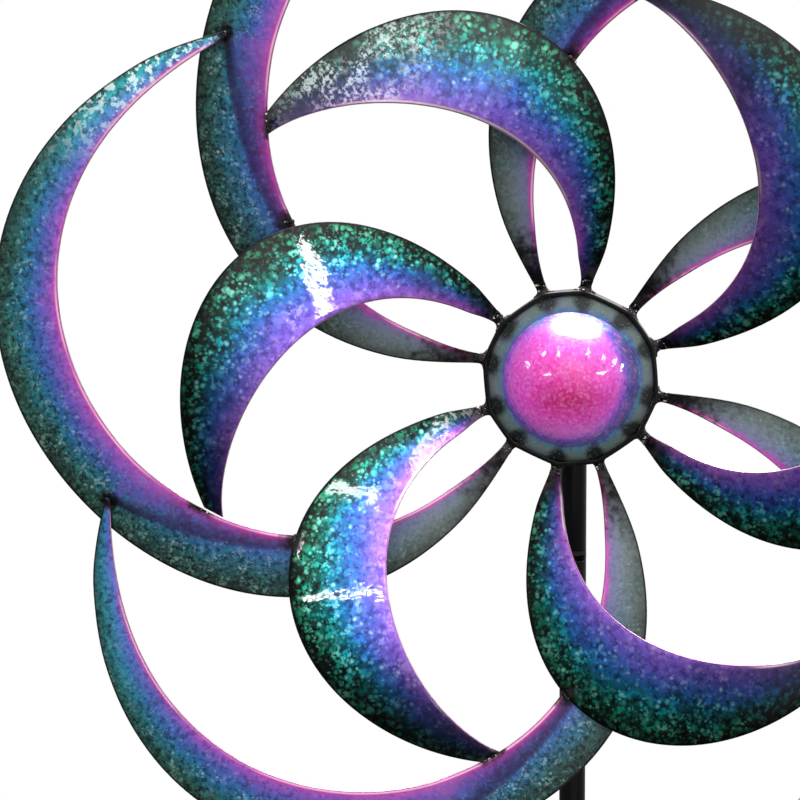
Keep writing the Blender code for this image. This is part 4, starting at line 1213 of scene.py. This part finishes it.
def build_rear_disc():
    edge = (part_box("rear_hub_plate")[1].x - HUB.x) / MM - 0.05
    profile = rounded([(13.8, -5.5), (18.0, -5.5), (20.0, -5.2), (34.0, -5.2), (36.0, -5.5),
                       (edge, -5.5), (edge, -6.45), (36.0, -6.45), (34.0, -6.2), (20.0, -6.2),
                       (18.0, -6.45), (13.8, -6.45)], 0.3, 2)
    place(hub_lathe("rear_hub_disc", profile, count=192), "wheel", POWDER, node="rear_hub_plate")


build_rim()
build_flange()
build_dome()
build_housing()
build_rear_disc()


# ---------------------------------------------------------------------- welds

def root_weld(ring, k):
    """The fillet that ties a blade root to the rim: wide on the rim, drawn in along the blade."""
    first, last = 47.2, 55.6                          # radii where the fillet begins and ends
    angle = math.radians(root_middle(ring, k))
    radial = np.array([math.cos(angle), math.sin(angle), 0.0])
    tangent = np.array([-math.sin(angle), math.cos(angle), 0.0])
    grid = turn(GRIDS[ring], PITCH * k)
    seed = 3.7 * k + (0.0 if ring == "front" else 60.0)
    radii = np.hypot(grid[:, V_STEPS // 2, 0], grid[:, V_STEPS // 2, 1])
    _, cos, sin = circle(48)
    rings = []
    for r in np.linspace(first, last, 30):
        x = np.interp(max(r, radii[0]), radii[:30], np.arange(30))
        i, w = int(x), x - int(x)
        outer, inner = ((1 - w) * grid[i, j] + w * grid[i + 1, j] for j in (0, -1))
        centre = (outer + inner) / 2.0
        end = np.clip((last - r) / 1.2, 0.0, 1.0) ** 0.5
        wide = (np.linalg.norm(inner - outer) / 2.0
                + (0.05 + 3.6 * math.exp(-max(r - 49.2, 0.0) / 1.10)) * end)
        thick = 0.35 + (0.25 + 1.5 * math.exp(-max(r - 50.2, 0.0) / 1.6)) * end
        ring_points = (radial * r + tangent * (centre @ tangent) + FORWARD * centre[2]
                       + wide * cos[:, None] * tangent
                       + (thick * np.sign(sin) * np.abs(sin) ** 0.55)[:, None] * FORWARD)
        kick = 0.30 * lumps(ring_points, 0.55, seed) + 0.12 * lumps(ring_points, 1.3, seed + 5.0)
        ring_points += end * kick[:, None] * (0.4 * cos[:, None] * tangent
                                              + sin[:, None] * FORWARD)
        rings.append(wheel(ring_points))
    weld(f"root_weld_{ring}_{k + 1}", rings, "wheel")


def wheel_bead(name, k, points, forward, radius, seed, squash):
    """A bead on the blades, through points turned to blade k and moved forward."""
    path = turn(points, PITCH * k) + forward * FORWARD
    rings = bead(path, radius, seed + k, squash=squash)
    weld(f"{name}_{k + 1}", [wheel(ring) for ring in rings], "wheel")


edge_before, edge_after = GRIDS["front"][CROSSING - 1, 0], GRIDS["front"][CROSSING + 1, 0]
crossing_run = [edge_before, (edge_before + edge_after) / 2.0, edge_after]
for k in range(6):
    root_weld("front", k)
    root_weld("back", k)
    # Front tip against the inner edge of a back blade.
    wheel_bead("tip_weld_front", k, FRONT_TIP[[1, 3, 6, 9, 12, 15]], forward=0.1,
               radius=0.75, seed=2.0, squash=0.8)
    # Where a front blade lies over the inner edge of the back blade behind it.
    wheel_bead("crossing_weld", k, crossing_run, forward=-0.9,
               radius=1.1, seed=21.0, squash=0.9)
    # Back tip over the face of the next back blade.
    wheel_bead("tip_weld_back", k, BACK_TIP[[0, 8, 16]], forward=-0.7,
               radius=0.95, seed=41.0, squash=0.8)


# --------------------------------------------------------------- head and pole

TUBE_R = 8.0            # pole tubes and swivel sleeve
SOCKET_R = 10.2
BOSS_R = 9.0
SCREW_R = 2.5           # joint screws
X_AXIS, Z_AXIS = (1.0, 0.0, 0.0), (0.0, 0.0, 1.0)


def upright(name, profile, **options):
    """Revolve (radius, height above ground) pairs about the pole axis."""
    return lathe(name, profile, (0.0, 0.0, 0.0), Z_AXIS, **options)


def z_span(node):
    low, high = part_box(node)
    return low.z / MM, high.z / MM


def necked_tube(name, node, neck):
    """A pole tube drawn in at the neck height to fit inside the next one."""
    z0, z1 = z_span(node)
    profile = rounded([(TUBE_R, z0), (TUBE_R, neck - 3.0), (7.9, neck - 0.6), (7.3, neck),
                       (6.5, neck + 0.8), (6.5, z1 - 1.0), (6.1, z1), (5.3, z1),
                       (5.3, neck - 1.0), (6.8, neck - 4.0), (6.8, z0)], 0.25, 2)
    place(upright(name, profile, count=72), "pole", POWDER, node=node)


def plain_tube(name, node, body, bore, corner, count):
    z0, z1 = z_span(node)
    profile = rounded([(TUBE_R, z0), (TUBE_R, z1), (bore, z1), (bore, z0)], corner, 3)
    place(upright(name, profile, count=count), body, POWDER, node=node)


def build_sleeve_cap():
    """A button on top of the swivel sleeve, with a stem if its CAD box reaches down inside."""
    sleeve_top = z_span("swivel_sleeve")[1]
    low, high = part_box("sleeve_top_cap")
    edge, bottom, top = (high.x - low.x) / 2.0 / MM - 0.05, low.z / MM, high.z / MM
    if bottom < sleeve_top - 0.5:
        stem = [(6.2, bottom + 0.1), (6.2, sleeve_top + 0.02), (edge, sleeve_top + 0.02)]
    else:
        stem = [(edge, bottom + 0.02)]
    seat = max(sleeve_top, bottom)
    button = [(edge * math.cos(a), seat + 0.6 + (top - seat - 0.65) * math.sin(a))
              for a in np.linspace(0.0, math.pi / 2 - 0.012, 14)]
    cap = upright("sleeve_cap_button", [(0.02, bottom + 0.1)] + stem + button, closed=False)
    place(cap, "head", POWDER, node="sleeve_top_cap")


def hex_nut(name, node, axis, body, flat, bore):
    """A chamfered hexagon nut, filling the length of the node's own box."""
    low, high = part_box(node)
    half = abs((high - low).dot(Vector(axis))) / MM / 2.0
    corner = flat / math.cos(math.pi / 6) * 1.001

    def shape(angle, radius, height):
        if radius < flat * 0.9:
            return np.full(len(angle), float(radius))
        return np.minimum(hexagon(angle, flat), radius)

    profile = [(bore, -half), (bore + 0.5, -half), (flat * 0.93, -half), (corner, -half + 0.55),
               (corner, half - 0.55), (flat * 0.93, half), (bore + 0.5, half), (bore, half)]
    nut = lathe(name, profile, tuple((low + high) / 2.0), axis, sharp=25, shape=shape)
    place(nut, body, ZINC, slot="zinc_steel", node=node)


def thread(start, end, pitch, crest, root):
    return [point for x in np.arange(start, end, pitch)
            for point in ((crest, x), (root, x + pitch / 2.0))]


def cross_screw(name, node, profile, count, shape):
    """Revolve (radius, x) pairs about the screw's own line, which runs along X."""
    low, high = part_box(node)
    middle = (low + high) / 2.0
    screw = lathe(name, profile, (0.0, middle.y, middle.z), X_AXIS, count=count, closed=False,
                  sharp=30, shape=shape)
    place(screw, "pole", ZINC, slot="zinc_steel", node=node)


def joint_screw(side):
    """A round-headed screw with a hexagon socket, through a pole joint."""
    node = f"{side}_joint_screw"
    low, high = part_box(node)
    x0, x1, head_r = low.x / MM, high.x / MM, (high.z - low.z) / 2.0 / MM
    seat = -8.3                                       # underside of the head

    def socket_shape(angle, radius, height):
        in_socket = radius < 1.9 and height < seat
        return hexagon(angle, radius) if in_socket else np.full(len(angle), float(radius))

    profile = [(0.02, x0 + 1.9), (1.75, x0 + 1.9), (1.8, x0 + 0.15), (2.2, x0)]
    profile += [(head_r * math.sin(a), x0 + (1.0 - math.cos(a)) * (seat - x0 - 0.7))
                for a in np.linspace(0.75, math.pi / 2, 7)]
    profile += [(head_r, seat - 0.15), (head_r - 0.15, seat), (SCREW_R, seat)]
    profile += thread(seat + 9.0, x1 - 0.8, pitch=0.4, crest=SCREW_R, root=2.18)
    profile += [(2.1, x1 - 0.5), (1.7, x1), (0.02, x1)]
    cross_screw(f"{side}_screw", node, profile, 48, socket_shape)


def build_socket():
    """The socket on the fork, with a weld round its foot."""
    z0, z1 = z_span("pole_socket")
    profile = rounded([(SOCKET_R, z0), (SOCKET_R, z1 - 2.4), (SOCKET_R, z1), (8.4, z1),
                       (8.4, z0)], 0.5, 3)
    place(upright("socket_tube", profile), "pole", POWDER, node="pole_socket")
    angle = np.linspace(0.0, 2.0 * math.pi, 80)
    weld_r = SOCKET_R + 0.2
    path = np.stack([weld_r * np.cos(angle), weld_r * np.sin(angle), np.full(80, z0 + 0.7)],
                    axis=1)
    rings = bead(path, radius=1.15, seed=7.0, wobble=0.25)
    weld("socket_weld", [ring * MM for ring in rings], "pole")


def build_thumb_screw():
    low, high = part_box("socket_thumb_screw")
    x0, x1, knob_r = low.x / MM, high.x / MM, (high.z - low.z) / 2.0 / MM

    def knurl(angle, radius, height):
        if radius < 4.5:
            return np.full(len(angle), float(radius))
        return radius - 0.45 * (0.5 + 0.5 * np.cos(angle * 24.0)) ** 2

    profile = [(0.02, x0), (1.9, x0), (2.6, x0 + 0.6)]
    profile += thread(x0 + 1.0, 22.0, pitch=0.5, crest=3.0, root=2.65)
    profile += [(3.2, 22.4), (4.2, 22.9), (knob_r - 1.2, 23.0), (knob_r - 0.1, 23.8),
                (knob_r - 0.05, x1 - 1.2), (knob_r - 1.0, x1 - 0.1), (3.0, x1 - 0.1),
                (2.6, x1 - 0.7), (0.02, x1 - 0.7)]
    cross_screw("thumb_screw", "socket_thumb_screw", profile, 192, knurl)


def build_axle_boss():
    """The axle boss, welded across the swivel sleeve."""
    front, back = forward_span("axle_boss")
    profile = rounded([(4.1, front), (BOSS_R, front), (BOSS_R, back + 0.5), (4.1, back + 0.5)],
                      0.6, 3)
    place(hub_lathe("axle_boss_tube", profile), "head", POWDER, node="axle_boss")
    path = []
    for angle in np.linspace(0.0, 2.0 * math.pi, 90):
        x, z = 8.9 * math.cos(angle), 8.9 * math.sin(angle)
        on_sleeve = -math.sqrt(TUBE_R ** 2 - min(abs(x), TUBE_R - 0.1) ** 2)
        path.append((x, min(on_sleeve, -5.2) - 0.3, z + HUB.z / MM))
    rings = bead(path, radius=1.1, seed=13.0, facing=AXLE, wobble=0.25)
    weld("boss_weld", [ring * MM for ring in rings], "head")


necked_tube("lower_tube", "lower_pole_tube", neck=540.0)
necked_tube("middle_tube", "middle_pole_tube", neck=1010.0)
plain_tube("upper_tube", "upper_pole_tube", "pole", bore=6.8, corner=0.35, count=72)
plain_tube("swivel_sleeve_tube", "swivel_sleeve", "head", bore=6.4, corner=0.4, count=96)
build_sleeve_cap()
hex_nut("lock_nut", "axle_lock_nut", AXLE, "head", flat=6.5, bore=4.05)
for side in ("lower", "upper"):
    hex_nut(f"{side}_nut", f"{side}_joint_nut", X_AXIS, "pole", flat=3.95, bore=2.55)
    joint_screw(side)
build_socket()
build_thumb_screw()
build_axle_boss()


# ----------------------------------------------------------------- ground fork

BAR = 5.0               # thickness of the fork bars
BAR_BEND = 14.0         # outer radius of the bends
POINT_LENGTH = 45.0     # the legs taper over this length


def fork_bar(name, node):
    """A flat bar bent into an upside-down U, with tapered points."""
    low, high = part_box(node)
    size = high - low
    along_x = size.x > size.y
    width = (size.y if along_x else size.x) / MM
    foot = low.z / MM
    leg = (high.x if along_x else high.y) / MM - BAR / 2.0
    crown = high.z / MM - BAR / 2.0
    bend = BAR_BEND - BAR / 2.0
    path = [(-leg, z) for z in (foot + 0.3, foot + 8.0, foot + 22.0, foot + 45.0, foot + 100.0,
                                crown - bend)]
    path += [(-leg + bend * (1 - math.cos(a)), crown - bend + bend * math.sin(a))
             for a in np.linspace(0.0, math.pi / 2, 12)[1:]]
    path += [(x, crown) for x in (-40.0, -12.0)]
    path = np.array(path + [(-x, z) for x, z in path[::-1]])
    tangent = unit(np.gradient(path, axis=0))
    normal = np.stack([-tangent[:, 1], tangent[:, 0]], axis=1)
    corners = [(cx, cy, math.radians(start + a))
               for cx, cy, start in ((1, 1, 0), (-1, 1, 90), (-1, -1, 180), (1, -1, 270))
               for a in (0, 22.5, 45, 67.5, 90)]
    rings = []
    for (path_x, path_z), (normal_x, normal_z) in zip(path, normal):
        taper = np.clip((path_z - foot) / POINT_LENGTH, 0.0, 1.0)
        half_width = (width / 2.0) * (0.22 + 0.78 * taper)
        half_bar = (BAR / 2.0) * (0.45 + 0.55 * taper)
        corner_r = min(0.9, half_bar * 0.6)
        ring = []
        for cx, cy, a in corners:
            aside = cx * (half_width - corner_r) + corner_r * math.cos(a)
            out = cy * (half_bar - corner_r) + corner_r * math.sin(a)
            x, z = path_x + normal_x * out, path_z + normal_z * out
            ring.append((x, aside, z) if along_x else (aside, x, z))
        rings.append(np.array(ring) * MM)
    place(loft(name, rings, sharp=40), "pole", POWDER, node=node)


fork_bar("fork_lower", "lower_fork_bar")
fork_bar("fork_upper", "upper_fork_bar")


# -------------------------------------------------- CAD nodes that stay in view

for node, material in (
        ("axle", STEEL), ("axle_washer", ZINC), ("bearing_spacer", STEEL),
        ("front_bearing_ball_cage", BRASS), ("rear_bearing_ball_cage", BRASS),
        ("front_bearing_inner_ring", STEEL), ("front_bearing_outer_ring", STEEL),
        ("rear_bearing_inner_ring", STEEL), ("rear_bearing_outer_ring", STEEL),
        ("pole_pin", OXIDE), ("thrust_ball", STEEL), ("upper_swivel_bush", NYLON),
        ("lower_swivel_bush", NYLON)):
    ob = frame["nodes"][node]
    if not ob.material_slots:
        ob.data.materials.append(material)
    for slot in ob.material_slots:
        slot.link = "OBJECT"
        slot.material = material


# ----------------------------------------------------------------------- floor

WHITE = (1.0, 1.0, 1.0, 1.0)


def make_floor():
    """A pale floor that fades into the white of the room."""
    mat = MaterialGraph("pale_floor")
    position = mat.add("ShaderNodeNewGeometry", output="Position")
    reach = mat.vector("LENGTH", mat.vector("MULTIPLY", position, (1.0, 1.0, 0.0)))
    pale = mat.blend(mat.noise(scale=1.5, detail=3.0), "eceae6", "f3f1ee")
    diffuse = mat.add("ShaderNodeBsdfDiffuse", {0: pale})
    glow = mat.add("ShaderNodeEmission", {0: WHITE, 1: 1.0})
    return mat.surface(mat.add("ShaderNodeMixShader", {0: reach.fade(0.7, 2.2), 1: diffuse,
                                                       2: glow}))


FLOOR_R = 2.6
floor_z = min(cad_low.z, 0.0) - 0.0006
_, floor_cos, floor_sin = circle(96)
floor = mesh_object("floor", [(FLOOR_R * x, FLOOR_R * y, floor_z)
                              for x, y in zip(floor_cos, floor_sin)], [tuple(range(96))])
dress(floor, make_floor())
floor.visible_glossy = False


# ---------------------------------------------------------------------- lights

def area_light(name, size, power, matrix, soft=True, shine=True, shape="RECTANGLE"):
    """soft: lights diffuse surfaces; shine: shows in glossy ones."""
    data = bpy.data.lights.new(name, "AREA")
    data.shape = shape
    data.size, data.size_y = size
    data.energy = power
    ob = bpy.data.objects.new(name, data)
    ob.matrix_world = matrix
    ob.visible_camera = False
    ob.visible_diffuse = soft
    ob.visible_glossy = shine
    bpy.context.scene.collection.objects.link(ob)
    return ob


def only_on(light, *prefixes):
    """Shield the light from everything but the pieces whose names start so."""
    group = bpy.data.collections.new(light.name + "_shows_on")
    for ob in bpy.data.objects:
        if ob.name.startswith(prefixes):
            group.objects.link(ob)
    light.light_linking.receiver_collection = group


def radiant_power(radiance, size):
    return radiance * math.pi * size[0] * size[1]


def direction(azimuth, elevation):
    """From the hub, in degrees: azimuth 0 in front, positive to the right."""
    az, el = math.radians(azimuth), math.radians(elevation)
    return Vector((math.sin(az) * math.cos(el), -math.cos(az) * math.cos(el), math.sin(el)))


def softbox(name, azimuth, elevation, reach, size, power, spin=0.0, **options):
    """An area light turned to the hub, at a distance in metres and a direction from it."""
    spot = HUB + reach * direction(azimuth, elevation)
    look = (HUB - spot).to_track_quat("-Z", "Y").to_matrix().to_4x4()
    matrix = Matrix.Translation(spot) @ look @ Matrix.Rotation(math.radians(spin), 4, "Z")
    return area_light(name, size, power, matrix, **options)


def strip_light(name, start, end, width, radiance, piece):
    """A glossy-only strip from start to end (metres from the hub), turned to face the hub."""
    start, end = Vector(start), Vector(end)
    size = ((end - start).length, width)
    x = (end - start).normalized()
    z = (start + end).normalized()
    z = (z - x * z.dot(x)).normalized()
    turned = Matrix((x, z.cross(x), z)).transposed().to_4x4()
    matrix = Matrix.Translation(HUB + (start + end) / 2.0) @ turned
    only_on(area_light(name, size, radiant_power(radiance, size), matrix, soft=False), piece)


# Broad light that only models form, and small lamps that only show in the gloss.
softbox("key", azimuth=-35.0, elevation=45.0, reach=2.6, size=(1.6, 1.6), power=52.0, shine=False)
softbox("fill", azimuth=40.0, elevation=10.0, reach=2.4, size=(1.6, 1.8), power=18.0, shine=False)
softbox("back_light", azimuth=165.0, elevation=30.0, reach=2.6, size=(1.8, 1.4), power=45.0,
        shine=False)
only_on(softbox("top_panel", azimuth=180.0, elevation=82.0, reach=1.6, size=(1.75, 1.5),
                power=165.0, soft=False),
        "front_blade", "back_blade", "hub_", "root_weld", "flange")

# The panel overhead as the dome shows it, close so that the blades above do not cut into it.
CROWN_SIZE = (0.058, 0.042)
crown = area_light("crown_panel", CROWN_SIZE, radiant_power(30.0, CROWN_SIZE),
                   Matrix.Translation(HUB + Vector((0.008, -0.017, 0.060))),
                   soft=False, shape="ELLIPSE")
only_on(crown, "dome_cap_shell")

TOP, LEFT, LOWER_LEFT = (f"front_blade_sheet_{number}" for number in (2, 3, 4))
# name, start, end, width, radiance, the blade it shows on
for strip in (
        ("strip", (0.29, -1.94, 0.58), (0.90, -1.76, -0.09), 0.064, 34.0, LEFT),
        ("window", (1.12, -1.56, 0.40), (0.58, -1.66, 0.95), 0.20, 20.0, LOWER_LEFT),
        ("bar", (-0.42, -1.82, 0.80), (0.22, -1.84, 0.76), 0.07, 24.0, LOWER_LEFT),
        ("upright", (-0.75, -1.90, 0.29), (-0.68, -1.88, 0.47), 0.013, 40.0, LOWER_LEFT),
        ("veil", (-0.70, -0.90, 0.12), (0.30, -1.05, 0.12), 0.80, 1.3, TOP),
        ("wire", (-0.313, -0.518, -0.093), (-0.070, -0.530, 0.026), 0.0036, 85.0, LOWER_LEFT)):
    strip_light(*strip)

# azimuth, elevation, length, spin of the lamps round the dome
LAMPS = ((-52.0, 35.0, 0.40, 70.0), (-23.0, 43.0, 0.50, 100.0), (34.0, 41.0, 0.55, 80.0),
         (60.0, 28.0, 0.5, 60.0), (79.0, 21.0, 0.5, 45.0), (88.0, 10.0, 0.5, 30.0),
         (51.0, 9.0, 0.75, 0.0), (-36.0, 7.0, 0.5, 25.0), (-75.0, 16.0, 0.35, -20.0))
for i, (azimuth, elevation, length, spin) in enumerate(LAMPS):
    size = (length, 0.11)
    lamp = softbox(f"lamp_{i + 1}", azimuth, elevation, reach=2.4, size=size,
                   power=radiant_power(26.0, size), spin=spin, soft=False)
    only_on(lamp, "dome_cap_shell", "hub_rim", "root_weld")


# ------------------------------------------------------------ world and camera

# azimuth, elevation, tightness, level of each soft glow in the room
GLOWS = ((10.0, 25.0, 15.0, 1.15), (26.0, 4.0, 14.0, 0.55), (-6.0, 16.0, 36.0, 0.40),
         (19.0, -12.0, 40.0, 0.28), (0.0, 80.0, 4.0, 0.30), (165.0, 25.0, 3.0, 1.0),
         (-75.0, 25.0, 5.0, 0.20), (95.0, 15.0, 5.0, 0.20))
AMBIENT = 0.03


def studio_world():
    """White to the camera; dim to the object, with broad soft glows."""
    world = bpy.data.worlds.new("studio")
    graph = Graph(world)
    ray = graph.add("ShaderNodeTexCoord", output="Generated")
    total = AMBIENT
    for azimuth, elevation, tightness, level in GLOWS:
        facing = graph.vector("DOT_PRODUCT", ray, direction(azimuth, elevation))
        glow = graph.calc("EXPONENT", (facing - 1.0) * tightness)
        total = glow.scaled(level, total)
    seen = graph.add("ShaderNodeBackground", {0: WHITE, 1: 1.0})
    unseen = graph.add("ShaderNodeBackground", {0: (1.0, 0.99, 0.985, 1.0), 1: total})
    to_camera = graph.add("ShaderNodeLightPath", output="Is Camera Ray")
    mix = graph.add("ShaderNodeMixShader", {0: to_camera, 1: unseen, 2: seen})
    graph.add("ShaderNodeOutputWorld", {0: mix})
    return world


def studio_camera():
    """Camera a little above the hub, with the hub right of the middle of the frame."""
    azimuth, tilt, roll = math.radians(-1.229), math.radians(8.162), math.radians(0.269)
    view = Vector((math.sin(azimuth) * math.cos(tilt), math.cos(azimuth) * math.cos(tilt),
                   -math.sin(tilt)))
    right = view.cross(Vector(Z_AXIS)).normalized()
    up = right.cross(view)
    cos, sin = math.cos(roll), math.sin(roll)
    data = bpy.data.cameras.new("camera")
    data.sensor_width = 36.0
    data.lens = 63.892
    data.shift_x, data.shift_y = -0.232125, -0.012625
    data.clip_start, data.clip_end = 0.02, 50.0
    camera = bpy.data.objects.new("camera", data)
    matrix = Matrix((right * cos + up * sin, up * cos - right * sin, -view)).transposed().to_4x4()
    matrix.translation = HUB + Vector((0.0251, -0.7877, 0.1060))
    camera.matrix_world = matrix
    bpy.context.scene.collection.objects.link(camera)
    bpy.context.scene.camera = camera


scene = bpy.context.scene
scene.world = studio_world()
scene.view_settings.view_transform = "Standard"
scene.view_settings.look = "None"
scene.view_settings.exposure = 0.0
scene.view_settings.gamma = 1.0
studio_camera()

bpy.context.view_layer.update()
